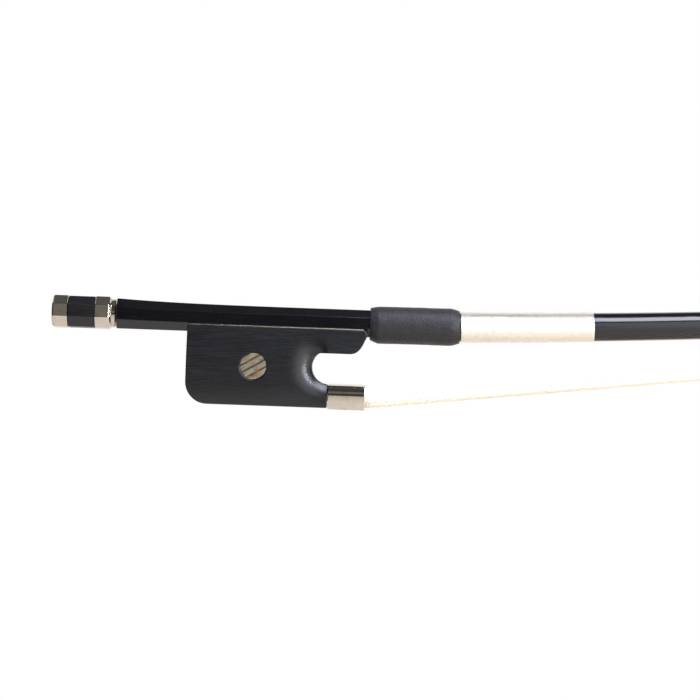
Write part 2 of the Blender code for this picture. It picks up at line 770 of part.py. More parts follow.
def build_frog(frog):
    """The ebony block of the frog with all its cuts."""
    body = piece(
        "frog_body",
        extruded("frog_body", [frog_outline()], SIDE, -10 * MM, 10 * MM),
        frog,
        ebony(),
    )
    section = extruded("frog_section", [frog_section()], END, -2 * MM, 70 * MM)
    shape(body, cutter("frog_section", section, frog), "INTERSECT")

    for side in (-1, 1):
        name = f"scoop_{side}"
        shape(body, cutter(name, scoop(name, side), frog))

    tongue = extruded(
        "tongue",
        [ferrule_section(FERRULE_METAL + GAP, TONGUE_FLOOR_V)],
        END,
        FERRULE_REAR_U - 0.05 * MM,
        FERRULE_FRONT_U - 1.0 * MM,
    )
    shape(body, cutter("tongue", tongue, frog), "UNION")

    groove_flats = STICK_FLATS + 2 * (LINER_METAL + 2 * FINE_GAP)
    groove = extruded("groove", [octagon(groove_flats, STICK_V)], END, -3 * MM, 70 * MM)
    shape(body, cutter("groove", groove, frog))

    track = [
        (-SLIDE_HALF_WIDTH, -1 * MM),
        (SLIDE_HALF_WIDTH, -1 * MM),
        (SLIDE_HALF_WIDTH, 0),
        (SLIDE_HALF_WIDTH + 0.8 * MM, SLIDE_DEPTH),
        (-SLIDE_HALF_WIDTH - 0.8 * MM, SLIDE_DEPTH),
        (-SLIDE_HALF_WIDTH, 0),
    ]
    cuts = (
        extruded("slide_track", [track], END, SLIDE_REAR_U, FERRULE_REAR_U + 1 * MM),
        box(
            "hair_channel",
            (MORTISE_U[0] + 2 * MM, -SLIDE_HALF_WIDTH, SLIDE_DEPTH - 0.5 * MM),
            (FERRULE_REAR_U + 1 * MM, SLIDE_HALF_WIDTH, CHANNEL_TOP_V),
        ),
        box(
            "frog_mortise",
            (MORTISE_U[0], -MORTISE_HALF_WIDTH, SLIDE_DEPTH - 0.8 * MM),
            (MORTISE_U[1], MORTISE_HALF_WIDTH, MORTISE_TOP_V),
        ),
        rod(
            "eyelet_hole",
            EYELET_STEM_RADIUS + GAP,
            (EYELET_U, 0, 15.0 * MM),
            (EYELET_U, 0, 26.0 * MM),
            20,
        ),
    )
    for mesh in cuts:
        shape(body, cutter(mesh.name, mesh, frog))
    for side in (-1, 1):
        face = side * FROG_HALF_WIDTH
        recess = rod(
            f"eye_recess_{side}",
            EYE_RADIUS + GAP,
            (EYE_CENTRE[0], face - side * (EYE_SET_IN + EYE_THICKNESS + GAP), EYE_CENTRE[1]),
            (EYE_CENTRE[0], face + side * 2 * MM, EYE_CENTRE[1]),
            40,
        )
        shape(body, cutter(recess.name, recess, frog))
    for name, u in pin_places():
        hole = rod(f"{name}_hole", 0.9 * MM, (u, 0, 21.2 * MM), (u, 0, 26.0 * MM), 16)
        shape(body, cutter(f"{name}_hole", hole, frog))


def pin_places():
    """Names and places of the pins that hold the underslide."""
    return (("underslide_pin_rear", 6.0 * MM), ("underslide_pin_front", 56.0 * MM))


def build_frog_fittings(frog):
    """Underslide with its pins, eyes, ferrule and the slide under the frog."""
    inner = octagon(STICK_FLATS + 2 * FINE_GAP, STICK_V)
    outer = octagon(STICK_FLATS + 2 * (FINE_GAP + LINER_METAL), STICK_V)
    rim = FROG_TOP_V + LINER_RIM

    def channel(points):
        """The lower part of an octagon up to the rim, from the left edge to the right."""
        reach = max(y for y, v in points)
        low = STICK_V - reach
        flat = min(abs(y) for y, v in points)
        edge = flat + (rim - low)
        return [(-edge, rim), (-flat, low), (flat, low), (edge, rim)]

    outline = channel(outer) + list(reversed(channel(inner)))
    liner = extruded("underslide", [outline], END, 0.3 * MM, BEAK_TIP[0] - 0.2 * MM)
    underslide = piece("underslide", liner, frog, nickel_silver())
    raised = [(u - 0.3 * MM, v + (rim - FROG_TOP_V)) for u, v in beak_front()]
    corner = raised + [(BEAK_TOP_U, rim + 3 * MM), (BEAK_TIP[0] + 3 * MM, rim + 3 * MM)]
    corner += [(BEAK_TIP[0] + 3 * MM, raised[0][1])]
    trim = extruded("liner_trim", [corner], SIDE, -10 * MM, 10 * MM)
    shape(underslide, cutter("liner_trim", trim, frog))
    slot_half = EYELET_STEM_RADIUS + GAP
    slot = rod("liner_hole", slot_half, (EYELET_U, 0, 22 * MM), (EYELET_U, 0, 29 * MM), 20)
    shape(underslide, cutter("liner_hole", slot, frog))
    liner_top = STICK_V - STICK_FLATS / 2 - FINE_GAP
    for name, u in pin_places():
        hole = rod(f"{name}_seat", 0.9 * MM, (u, 0, 22 * MM), (u, 0, 29 * MM), 16)
        shape(underslide, cutter(f"{name}_seat", hole, frog))
        pin = rod(name, 0.6 * MM, (u, 0, 21.5 * MM), (u, 0, liner_top - 0.05 * MM), 16)
        piece(name, pin, frog, nickel_silver())

    for name, side in (("eye_left", -1), ("eye_right", 1)):
        face = side * (FROG_HALF_WIDTH - EYE_SET_IN)
        eye = rod(
            name,
            EYE_RADIUS,
            (EYE_CENTRE[0], face - side * EYE_THICKNESS, EYE_CENTRE[1]),
            (EYE_CENTRE[0], face, EYE_CENTRE[1]),
            40,
        )
        piece(name, eye, frog, abalone())

    shell = extruded(
        "ferrule",
        [ferrule_section(0), ferrule_section(FERRULE_METAL)],
        END,
        FERRULE_REAR_U + GAP,
        FERRULE_FRONT_U,
    )
    piece("ferrule", shell, frog, nickel_silver())

    front = FERRULE_REAR_U - 0.1 * MM
    rear = SLIDE_REAR_U + GAP
    for name, low, high, material in (
        ("slide_pearl", 0.15 * MM, PEARL_THICKNESS, abalone()),
        ("slide_backing", PEARL_THICKNESS + GAP, SLIDE_DEPTH - GAP, ebony()),
    ):
        lean = 0.8 * MM / SLIDE_DEPTH
        base = SLIDE_HALF_WIDTH - GAP
        outline = [
            (-base - lean * low, low),
            (base + lean * low, low),
            (base + lean * high, high),
            (-base - lean * high, high),
        ]
        piece(name, extruded(name, [outline], END, rear, front), frog, material)


def build_frog_hair(frog):
    """The knot, plug and spread wedge that hold the hair in the frog."""
    knot_half = MORTISE_HALF_WIDTH - GAP
    rear = MORTISE_U[0] + GAP
    top = MORTISE_TOP_V - GAP
    run_low = SLIDE_DEPTH + 0.1 * MM
    outline = [
        (rear, run_low),
        (FERRULE_REAR_U + 0.6 * MM, run_low),
        (FERRULE_REAR_U + 3.6 * MM, FERRULE_BOTTOM_V + FERRULE_METAL + GAP),
        (FERRULE_FRONT_U - 1.5 * MM, FERRULE_BOTTOM_V + FERRULE_METAL + GAP),
        (FERRULE_FRONT_U - 1.5 * MM, 2.3 * MM),
        (FERRULE_REAR_U + 4 * MM, 2.3 * MM),
        (FERRULE_REAR_U, 4.6 * MM),
        (rear + 4.8 * MM, 4.6 * MM),
        (rear + 4.8 * MM, top - 1.0 * MM),
        (rear + 3.8 * MM, top),
        (rear + 1.0 * MM, top),
        (rear, top - 1.0 * MM),
    ]
    mesh = extruded("frog_hair_knot", [outline], SIDE, -knot_half, knot_half)
    piece("frog_hair_knot", mesh, frog, horsehair())
    plug = [
        (rear + 5.2 * MM, 4.95 * MM),
        (MORTISE_U[1] - GAP, 4.95 * MM),
        (MORTISE_U[1] - GAP, top - 1.5 * MM),
        (rear + 5.2 * MM, top - 0.5 * MM),
    ]
    mesh = extruded("frog_wedge", [plug], SIDE, -knot_half, knot_half)
    piece("frog_wedge", mesh, frog, maple())
    wedge = [
        (FERRULE_REAR_U + 3.6 * MM, 2.7 * MM),
        (FERRULE_FRONT_U - 0.6 * MM, 2.7 * MM),
        (FERRULE_FRONT_U - 0.6 * MM, TONGUE_FLOOR_V - GAP),
        (FERRULE_REAR_U + 4.4 * MM, TONGUE_FLOOR_V - GAP),
    ]
    half = FERRULE_HALF_WIDTH - FERRULE_METAL - 0.7 * MM
    piece("spread_wedge", extruded("spread_wedge", [wedge], SIDE, -half, half), frog, maple())


def build_eyelet(frog):
    """The brass eyelet that the screw turns in, screwed into the frog."""
    rear = EYELET_U - EYELET_LENGTH / 2
    front = EYELET_U + EYELET_LENGTH / 2
    barrel = rod("eyelet_nut", EYELET_RADIUS, (rear, 0, SCREW_V), (front, 0, SCREW_V), 32)
    eyelet = piece("eyelet_nut", barrel, frog, brass())
    stem = rod(
        "eyelet_stem",
        EYELET_STEM_RADIUS,
        (EYELET_U, 0, 15.6 * MM),
        (EYELET_U, 0, SCREW_V - 1 * MM),
        20,
    )
    shape(eyelet, cutter("eyelet_stem", stem, frog), "UNION")
    hole = rod(
        "eyelet_thread",
        SCREW_RADIUS + FINE_GAP,
        (rear - 2 * MM, 0, SCREW_V),
        (front + 2 * MM, 0, SCREW_V),
        24,
    )
    shape(eyelet, cutter("eyelet_thread", hole, frog))


def build_screw(screw):
    """The screw and the three-part button on its end. Here v is measured from the screw's axis."""
    front = BUTTON_FRONT_U
    ring_front = front - COLLAR_LENGTH
    ring_rear = front - COLLAR_LENGTH - FRONT_RING_LENGTH
    ebony_rear = ring_rear - EBONY_LENGTH
    end = ebony_rear - END_RING_LENGTH
    corner = 1 / math.cos(math.pi / 8)

    profile = [
        (end + 4 * MM, 0),
        (end + 4 * MM, SCREW_RADIUS),
        (SCREW_TIP_U - 1.5 * MM, SCREW_RADIUS),
        (SCREW_TIP_U, SCREW_RADIUS * 0.6),
        (SCREW_TIP_U, 0),
    ]
    piece("screw_rod", turned("screw_rod", profile, 24), screw, steel())

    half = BUTTON_FLATS / 2 - 0.15 * MM
    body = rod(
        "button_core",
        half * corner,
        (ebony_rear + FINE_GAP, 0, 0),
        (ring_rear - FINE_GAP, 0, 0),
        8,
    )
    core = piece("button_core", body, screw, ebony())
    tenon = turned(
        "button_tenon",
        [
            (end + 0.3 * MM, 0),
            (end + 0.6 * MM, TENON_RADIUS - 1.2 * MM),
            (end + 1.0 * MM, TENON_RADIUS),
            (ring_rear + 1.4 * MM, TENON_RADIUS),
            (ring_rear + 1.4 * MM, 0),
        ],
    )
    shape(core, cutter("button_tenon", tenon, screw), "UNION")
    bore = rod(
        "button_bore",
        SCREW_RADIUS + FINE_GAP,
        (end + 3.6 * MM, 0, 0),
        (front + 2 * MM, 0, 0),
        24,
    )
    shape(core, cutter("button_bore", bore, screw))

    across = BUTTON_FLATS / 2 * corner
    edge = 0.7 * MM
    rear_profile = octagonal_rings(
        (
            (end, across - edge),
            (end + edge * 0.3, across - edge * 0.3),
            (end + edge, across),
            (ebony_rear, across),
        )
    )
    end_ring = piece("button_end_ring", loft("button_end_ring", rear_profile), screw, nickel_silver())
    bore = rod(
        "end_ring_bore",
        TENON_RADIUS + FINE_GAP,
        (end - 2 * MM, 0, 0),
        (ebony_rear + 2 * MM, 0, 0),
    )
    shape(end_ring, cutter("end_ring_bore", bore, screw))

    front_profile = octagonal_rings(
        (
            (ring_rear, across),
            (ring_front - RING_BEVEL, across),
            (ring_front, across - 0.55 * MM),
        )
    )
    ring_mesh = loft("button_front_ring", front_profile)
    front_ring = piece("button_front_ring", ring_mesh, screw, nickel_silver())
    collar = rod("collar", COLLAR_RADIUS, (ring_rear + 2 * MM, 0, 0), (front, 0, 0))
    shape(front_ring, cutter("collar", collar, screw), "UNION")
    seats = (
        ("tenon_seat", TENON_RADIUS + FINE_GAP, ring_rear - 2 * MM, ring_rear + 1.6 * MM),
        ("nipple_seat", NIPPLE_RADIUS + GAP, front - NIPPLE_LENGTH - GAP, front + 2 * MM),
        ("screw_seat", SCREW_RADIUS + FINE_GAP, ring_rear - 2 * MM, front + 2 * MM),
    )
    for name, radius, low, high in seats:
        shape(front_ring, cutter(name, rod(name, radius, (low, 0, 0), (high, 0, 0)), screw))


def octagonal_rings(stations):
    """Octagonal rings on the handle's axis from (u, corner radius) stations."""
    rings = []
    for u, reach in stations:
        flats = reach * 2 * math.cos(math.pi / 8)
        rings.append([Vector((u, y, v)) for y, v in octagon(flats)])
    return rings


def hair_thickness(distance, length):
    """Thickness of the hair band: it swells past the ferrule's mouth, then thins towards the head."""
    if distance < HAIR_SWELL:
        return HAIR_THICK_MOUTH + (HAIR_THICK_FROG - HAIR_THICK_MOUTH) * eased(distance / HAIR_SWELL)
    if distance < HAIR_SETTLE:
        along = (distance - HAIR_SWELL) / (HAIR_SETTLE - HAIR_SWELL)
        return HAIR_THICK_FROG + (HAIR_THICK_MIDDLE - HAIR_THICK_FROG) * along
    along = (distance - HAIR_SETTLE) / (length - HAIR_SETTLE)
    return HAIR_THICK_MIDDLE + (HAIR_THICK_HEAD - HAIR_THICK_MIDDLE) * along


def build_hair(bow):
    """The free band of hair from the ferrule to the head."""
    start = on_handle(FERRULE_FRONT_U - 1.2 * MM, 1.35 * MM)
    end = Vector((HEAD_MORTISE[0] + 2.0 * MM, 0, 1.0 * MM))
    length = (end - start).length
    places = [0, HAIR_SWELL / 2, HAIR_SWELL, HAIR_SETTLE / 2, HAIR_SETTLE]
    places += [HAIR_SETTLE + (length - HAIR_SETTLE) * k / 6 for k in range(1, 7)]
    rings = []
    for distance in places:
        t = distance / length
        centre = start.lerp(end, t)
        wide = HAIR_HALF_WIDTH_FROG + (HAIR_HALF_WIDTH_HEAD - HAIR_HALF_WIDTH_FROG) * t
        wide = min(wide, HEAD_MORTISE_HALF_WIDTH - GAP + (1 - t) * HAIR_GATHER)
        thick = hair_thickness(distance, length)
        ring = []
        for n in range(16):
            angle = math.tau * n / 16
            y = math.copysign(abs(math.cos(angle)) ** 0.5, math.cos(angle)) * wide
            z = math.copysign(abs(math.sin(angle)) ** 0.7, math.sin(angle)) * thick / 2
            ring.append(centre + Vector((0, y, z)))
        rings.append(ring)
    piece("hair_ribbon", loft("hair_ribbon", rings), bow, horsehair())


def centre_bow(bow):
    """Put the middle of the bow's length on the origin, with its lowest point at z = 0."""
    bpy.context.view_layer.update()
    graph = bpy.context.evaluated_depsgraph_get()
    corners = []
    for obj in bpy.data.collections[PARTS].objects:
        if obj.type != "MESH":
            continue
        seen = obj.evaluated_get(graph)
        corners += [seen.matrix_world @ vertex.co for vertex in seen.data.vertices]
    low_x = min(point.x for point in corners)
    high_x = max(point.x for point in corners)
    bow.location = (-(low_x + high_x) / 2, 0, -min(point.z for point in corners))
    bpy.context.view_layer.update()


def print_axes(handle):
    """Say where the screw's axis lies, for the joints."""
    place = handle.matrix_world @ Vector((STICK_REAR_U, 0, SCREW_V))
    heading = handle.matrix_world.to_3x3() @ Vector((1, 0, 0))
    print("screw axis point", tuple(round(c, 6) for c in place))
    print("screw axis heading", tuple(round(c, 6) for c in heading))
    print("frog travel", round(FROG_TRAVEL, 6), "over", SCREW_TURNS, "turns")


def main():
    clear_scene()
    bow = empty("bow", None, Matrix.Identity(4))
    handle = empty("handle_frame", bow, handle_matrix())
    frog = empty("frog_carriage", handle, Matrix.Identity(4))
    turned_up = Matrix.Translation((0, 0, SCREW_V)) @ Matrix.Rotation(BUTTON_TURN, 4, "X")
    screw = empty("screw_axis", handle, turned_up)
    build_stick(bow, handle)
    build_head(bow)
    build_grip(bow)
    build_hair(bow)
    build_frog(frog)
    build_frog_fittings(frog)
    build_frog_hair(frog)
    build_eyelet(frog)
    build_screw(screw)
    centre_bow(bow)
    print_axes(handle)


main()
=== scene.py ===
"""Dress the frame of a double bass bow and show it on white.

The handle, frog and screw are drawn in the handle's own frame: u runs along the screw towards the head from
the frog's lower rear corner, y goes across, and v is square to both, up from the frog's flat bottom. The
shaft, grip and hair are drawn along the bow from the ferrule's lower front edge, with z up. Every length is
in metres.
"""
import json
import logging
import math
import random
from collections.abc import Iterable, Sequence
from dataclasses import dataclass
from enum import Enum

import bmesh
import bpy
from mathutils import Matrix, Vector, noise


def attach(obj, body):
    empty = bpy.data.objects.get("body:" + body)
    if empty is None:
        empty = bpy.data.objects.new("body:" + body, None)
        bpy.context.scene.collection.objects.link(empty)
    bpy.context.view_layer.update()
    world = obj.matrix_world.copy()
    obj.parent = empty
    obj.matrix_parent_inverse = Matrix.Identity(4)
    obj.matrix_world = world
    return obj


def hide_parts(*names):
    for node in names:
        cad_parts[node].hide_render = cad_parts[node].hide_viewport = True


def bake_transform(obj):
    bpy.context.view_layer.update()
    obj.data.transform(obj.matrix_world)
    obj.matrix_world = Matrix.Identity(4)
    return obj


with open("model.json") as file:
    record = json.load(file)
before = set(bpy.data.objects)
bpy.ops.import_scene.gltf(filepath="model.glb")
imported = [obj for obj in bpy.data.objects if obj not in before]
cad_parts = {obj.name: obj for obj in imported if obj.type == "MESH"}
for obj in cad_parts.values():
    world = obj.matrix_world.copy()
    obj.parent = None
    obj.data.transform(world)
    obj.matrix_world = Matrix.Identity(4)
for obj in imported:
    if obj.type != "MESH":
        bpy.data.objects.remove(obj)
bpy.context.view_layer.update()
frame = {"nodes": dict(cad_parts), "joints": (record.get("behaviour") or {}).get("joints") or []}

LOG = logging.getLogger("bow")

MM = 0.001
# Points nearer than this count as one.
CLOSE = 0.001 * MM
# Where a rounded edge passes between its two faces, as a share of its size.
EDGE_SHARE = 0.3
FERRULE_FRONT = 63.4 * MM
FERRULE_LOW = -0.35 * MM
# The attribute that holds each hair's shade.
OWN_SHADE = "own_shade"

Point = tuple[float, float]
Place = tuple[float, float, float]


class Body(Enum):
    """The bodies of the frame that pieces ride on."""

    STICK = "stick"
    FROG = "frog"
    SCREW = "screw"


def linear(colour: str) -> tuple[float, float, float, float]:
    """Turn an sRGB hex colour into a linear one.

    Args:
        colour: Six hex digits.

    Returns:
        Red, green, blue and alpha.
    """
    parts = [int(colour[k:k + 2], 16) / 255 for k in (0, 2, 4)]
    red, green, blue = (c / 12.92 if c <= 0.04045 else ((c + 0.055) / 1.055) ** 2.4 for c in parts)
    return red, green, blue, 1.0


def eased(t: float) -> float:
    """Smooth step from 0 to 1."""
    t = min(max(t, 0.0), 1.0)
    return t * t * (3 - 2 * t)


def arc(centre: Point, radius: float, start: float, end: float, steps: int) -> list[Point]:
    """Points on an arc.

    Args:
        centre: Its centre.
        radius: Its radius.
        start: First angle in degrees.
        end: Last angle in degrees.
        steps: Number of steps between them.

    Returns:
        One more point than steps.
    """
    points = []
    for k in range(steps + 1):
        angle = math.radians(start + (end - start) * k / steps)
        points.append((centre[0] + radius * math.cos(angle), centre[1] + radius * math.sin(angle)))
    return points


def circle(centre: Point, radius: float, sides: int) -> list[Point]:
    """Points of a closed circle."""
    return arc(centre, radius, 0, 360 - 360 / sides, sides - 1)


def bezier(start: Point, lead: Point, follow: Point, end: Point, steps: int) -> list[Point]:
    """Points on a cubic curve.

    Args:
        start: First point.
        lead: Handle of the first point.
        follow: Handle of the last point.
        end: Last point.
        steps: Number of steps between them.

    Returns:
        One more point than steps.
    """
    points = []
    knots = (start, lead, follow, end)
    for k in range(steps + 1):
        t = k / steps
        weights = ((1 - t) ** 3, 3 * t * (1 - t) ** 2, 3 * t * t * (1 - t), t ** 3)
        y, z = (sum(w * p[i] for w, p in zip(weights, knots)) for i in range(2))
        points.append((y, z))
    return points


@dataclass(frozen=True)
class Tilted:
    """The handle's frame in the row frame, from the frame's own joint on the screw's axis.

    The handle's rear end is at rear_u, the screw's axis at axis_v and the middle of the octagon at stick_v.
    """

    rear_u: float = -25.4 * MM
    axis_v: float = 30.85 * MM
    stick_v: float = 30.27 * MM

    def joint(self) -> dict:
        """The frame's joint on the screw's axis, whose place is the stick's rear end."""
        return next(j for j in frame["joints"] if j["name"] == "button_turn")

    def tilt(self) -> float:
        """How far the handle leans down towards the head, in radians."""
        along = self.joint()["axis"]
        return math.atan2(-along[2], along[0])

    def matrix(self) -> Matrix:
        """Give the handle's place.

        Returns:
            What turns (u, y, v) into the row frame.
        """
        origin = Matrix.Translation(Vector(self.joint()["pos_m"]))
        turn = Matrix.Rotation(self.tilt(), 4, "Y")
        return origin @ turn @ Matrix.Translation((-self.rear_u, 0, -self.axis_v))

    def at(self, u: float, y: float, v: float) -> Vector:
        """Row-frame place of a point in the handle's frame."""
        return self.matrix() @ Vector((u, y, v))


HANDLE = Tilted()
FERRULE_EDGE = HANDLE.at(FERRULE_FRONT, 0.0, FERRULE_LOW)


def along_bow(x: float, y: float, z: float) -> Vector:
    """Row-frame place of a point measured from the ferrule's lower front edge, with z up."""
    return Vector((FERRULE_EDGE.x + x, y, FERRULE_EDGE.z + z))


EDGE_STEPS = 4
# Places of points along a flat. The outer two stand close to its edges, so that it shades flat between them.
FLAT_PLACES = (0.04, 0.5, 0.96)


def rounded_octagon(edge: float, roundness: float) -> list[Point]:
    """Section of unit half width that turns from an octagon with one flat up into a circle.

    Args:
        edge: Radius of the octagon's edges.
        roundness: 0 for the octagon, 1 for the circle.

    Returns:
        Points anticlockwise.
    """
    reach = (1 - edge) / math.cos(math.pi / 8)
    corners = []
    for k in range(8):
        angle = math.radians(22.5 + 45 * k)
        centre = (reach * math.cos(angle), reach * math.sin(angle))
        corners.append(arc(centre, edge, 45.0 * k, 45.0 * (k + 1), EDGE_STEPS))
    points = []
    for k, corner in enumerate(corners):
        points += corner
        after = corners[(k + 1) % 8][0]
        for t in FLAT_PLACES:
            points.append(tuple(a + (b - a) * t for a, b in zip(corner[-1], after)))
    section = []
    for y, v in points:
        size = math.hypot(y, v)
        section.append(tuple(c + (c / size - c) * roundness for c in (y, v)))
    return section


def mirrored(half: Sequence[Point]) -> list[Point]:
    """A closed outline from its half on +y, listed from the bottom up."""
    return list(half) + [(-y, v) for y, v in reversed(half) if y > CLOSE]


def smooth(mesh: bpy.types.Mesh, angle: float = 35.0) -> bpy.types.Mesh:
    """Shade a mesh smooth between its sharp edges.

    Args:
        mesh: The mesh.
        angle: Edges sharper than this many degrees stay sharp.

    Returns:
        The same mesh.
    """
    mesh.shade_smooth()
    mesh.set_sharp_from_angle(angle=math.radians(angle))
    return mesh


def turned_out(mesh: bpy.types.Mesh, merge: float = 0.0) -> bpy.types.Mesh:
    """Turn every face of a mesh outwards.

    Args:
        mesh: The mesh.
        merge: Merge points that are nearer than this first.

    Returns:
        The same mesh.
    """
    build = bmesh.new()
    build.from_mesh(mesh)
    if merge:
        bmesh.ops.remove_doubles(build, verts=build.verts, dist=merge)
    bmesh.ops.recalc_face_normals(build, faces=build.faces)
    build.to_mesh(mesh)
    build.free()
    return mesh


def loft(rings: Sequence[Sequence[Vector]], closed: bool = False) -> bpy.types.Mesh:
    """Skin rings of points.

    Args:
        rings: Rings with the same number of points.
        closed: Join the last ring to the first. Otherwise both ends are filled.

    Returns:
        The mesh.
    """
    count = len(rings[0])
    points = [tuple(point) for ring in rings for point in ring]
    faces = []
    last = len(rings) if closed else len(rings) - 1
    for row in range(last):
        after = (row + 1) % len(rings)
        for k in range(count):
            n = (k + 1) % count
            faces.append((row * count + k, row * count + n, after * count + n, after * count + k))
    if not closed:
        faces.append(tuple(reversed(range(count))))
        faces.append(tuple(range(len(points) - count, len(points))))
    mesh = bpy.data.meshes.new("loft")
    mesh.from_pydata(points, [], faces)
    return smooth(turned_out(mesh))


def rod(rear: float, front: float, radius: float, sides: int = 48) -> bpy.types.Mesh:
    """Round rod on the u axis.

    Args:
        rear: Where it starts.
        front: Where it ends.
        radius: Its radius.
        sides: Faces round it.

    Returns:
        The mesh, in the handle's frame about v = 0.
    """
    turn = [math.tau * k / sides for k in range(sides)]
    rings = []
    for u, size in ((rear, CLOSE), (rear, radius), (front, radius), (front, CLOSE)):
        rings.append([Vector((u, size * math.cos(a), size * math.sin(a))) for a in turn])
    return loft(rings)


SIDE = Matrix.Rotation(math.radians(90), 4, "X")
END = Matrix(((0, 0, 1, 0), (1, 0, 0, 0), (0, 1, 0, 0), (0, 0, 0, 1)))
PLAN = Matrix.Identity(4)


def extruded(outlines: Sequence[Sequence[Point]], facing: Matrix, low: float, high: float) -> bpy.types.Mesh:
    """Flat outlines extruded square to their plane.

    Args:
        outlines: An outline, and holes in it.
        facing: SIDE for (u, v) outlines, END for (y, v) and PLAN for (u, y).
        low: Where the extrusion starts.
        high: Where it ends.

    Returns:
        The mesh.
    """
    curve = bpy.data.curves.new("outline", "CURVE")
    curve.dimensions = "2D"
    curve.fill_mode = "BOTH"
    curve.extrude = (high - low) / 2
    for outline in outlines:
        spline = curve.splines.new("POLY")
        spline.points.add(len(outline) - 1)
        for point, (a, b) in zip(spline.points, outline):
            point.co = (a, b, 0, 1)
        spline.use_cyclic_u = True
    mesh = bake(bpy.data.objects.new("outline", curve))
    mesh.transform(facing @ Matrix.Translation((0, 0, (low + high) / 2)))
    return smooth(turned_out(mesh, CLOSE), 25)


def box(low: Sequence[float], high: Sequence[float]) -> bpy.types.Mesh:
    """Make a box.

    Args:
        low: Its lowest corner.
        high: Its highest corner.

    Returns:
        The mesh.
    """
    build = bmesh.new()
    bmesh.ops.create_cube(build, size=1)
    low, high = Vector(low), Vector(high)
    place = Matrix.Translation((low + high) / 2) @ Matrix.Diagonal((*(high - low), 1))
    bmesh.ops.transform(build, matrix=place, verts=build.verts)
    mesh = bpy.data.meshes.new("box")
    build.to_mesh(mesh)
    build.free()
    return mesh


def shown(name: str, data: bpy.types.ID) -> bpy.types.Object:
    """Put an object in the scene.

    Args:
        name: Its name.
        data: Its mesh, light or camera.

    Returns:
        The object.
    """
    made = bpy.data.objects.new(name, data)
    bpy.context.scene.collection.objects.link(made)
    return made


def bake(obj: bpy.types.Object) -> bpy.types.Mesh:
    """Apply an object's modifiers, and remove the object.

    Args:
        obj: A mesh or curve object.

    Returns:
        Its final mesh.
    """
    if not obj.users_collection:
        bpy.context.scene.collection.objects.link(obj)
    bpy.context.view_layer.update()
    seen = obj.evaluated_get(bpy.context.evaluated_depsgraph_get())
    mesh = bpy.data.meshes.new_from_object(seen)
    bpy.data.objects.remove(obj, do_unlink=True)
    return mesh


def carved(mesh: bpy.types.Mesh, steps: Iterable[tuple[str, bpy.types.Mesh]]) -> bpy.types.Mesh:
    """Cut, join or intersect a mesh with others.

    Args:
        mesh: The mesh to shape.
        steps: Pairs of DIFFERENCE, UNION or INTERSECT and a tool mesh, in order.

    Returns:
        The shaped mesh.
    """
    target = bpy.data.objects.new("target", mesh)
    tools = []
    for operation, tool_mesh in steps:
        tool = shown("tool", tool_mesh)
        tools.append(tool)
        step = target.modifiers.new("step", "BOOLEAN")
        step.operation = operation
        step.solver = "EXACT"
        step.object = tool
    made = bake(target)
    for tool in tools:
        bpy.data.objects.remove(tool, do_unlink=True)
    return made


Inputs = dict[str | int, object]
Cell = tuple[float, float, float]


def feed(tree: bpy.types.NodeTree, node: bpy.types.Node, inputs: Inputs) -> None:
    """Set or link a node's inputs.

    Args:
        tree: The node tree.
        node: The node.
        inputs: A value, or a socket to link, for each input.
    """
    for key, value in inputs.items():
        if isinstance(value, bpy.types.NodeSocket):
            tree.links.new(value, node.inputs[key])
        else:
            node.inputs[key].default_value = value


def add(
    tree: bpy.types.NodeTree,
    kind: str,
    inputs: Inputs | None = None,
    output: int | str = 0,
    stops: Sequence[tuple[float, str]] = (),
    **settings: object,
) -> bpy.types.NodeSocket:
    """Add a shader node with its settings and links.

    Args:
        tree: The node tree.
        kind: The node's type.
        inputs: A value, or a socket to link, for each input.
        output: The output that is wanted.
        stops: Places and hex colours of a colour ramp, two or more.
        **settings: The node's own properties.

    Returns:
        The socket of that output.
    """
    made = tree.nodes.new(kind)
    for name, value in settings.items():
        setattr(made, name, value)
    if stops:
        elements = made.color_ramp.elements
        while len(elements) < len(stops):
            elements.new(0.5)
        for element, (place, colour) in zip(elements, stops):
            element.position = place
            element.color = linear(colour)
    feed(tree, made, inputs or {})
    return made.outputs[output]


def in_mm(
    tree: bpy.types.NodeTree, cell: Cell = (1.0, 1.0, 1.0), tilted: bool = False
) -> bpy.types.NodeSocket:
    """Place on the object as a count of cells of a real size.

    Args:
        tree: The node tree.
        cell: Size of a cell in millimetres.
        tilted: Turn the cells along the handle.

    Returns:
        The vector.
    """
    place = add(tree, "ShaderNodeTexCoord", output="Object")
    if tilted:
        turn = (0.0, -HANDLE.tilt(), 0.0)
        place = add(tree, "ShaderNodeMapping", {"Vector": place, "Rotation": turn})
    scale = tuple(1 / MM / c for c in cell)
    return add(tree, "ShaderNodeMapping", {"Vector": place, "Scale": scale})


def grain(
    tree: bpy.types.NodeTree, cell: Cell, detail: float, tilted: bool = False
) -> bpy.types.NodeSocket:
    """Uneven pattern of a real size.

    Args:
        tree: The node tree.
        cell: Size of its cells in millimetres.
        detail: How many finer layers lie over it.
        tilted: Turn the cells along the handle.

    Returns:
        A value from 0 to 1.
    """
    place = in_mm(tree, cell, tilted)
    return add(tree, "ShaderNodeTexNoise", {"Vector": place, "Scale": 1.0, "Detail": detail}, "Fac")


def between(value: bpy.types.NodeSocket, *limits: float) -> Inputs:
    """Inputs that map a value between the first two limits to between the last two."""
    return {"Value": value, **dict(zip(("From Min", "From Max", "To Min", "To Max"), limits))}


def summed(value: bpy.types.NodeSocket, weight: float, base: bpy.types.NodeSocket) -> Inputs:
    """Inputs that add a value, times its weight, to another."""
    return {0: value, 1: weight, 2: base}


def raised(height: bpy.types.NodeSocket, depth: float) -> Inputs:
    """Inputs that raise a surface by a height from 0 to 1, where 1 is a real depth in millimetres."""
    return {"Height": height, "Strength": 1.0, "Distance": depth * MM}


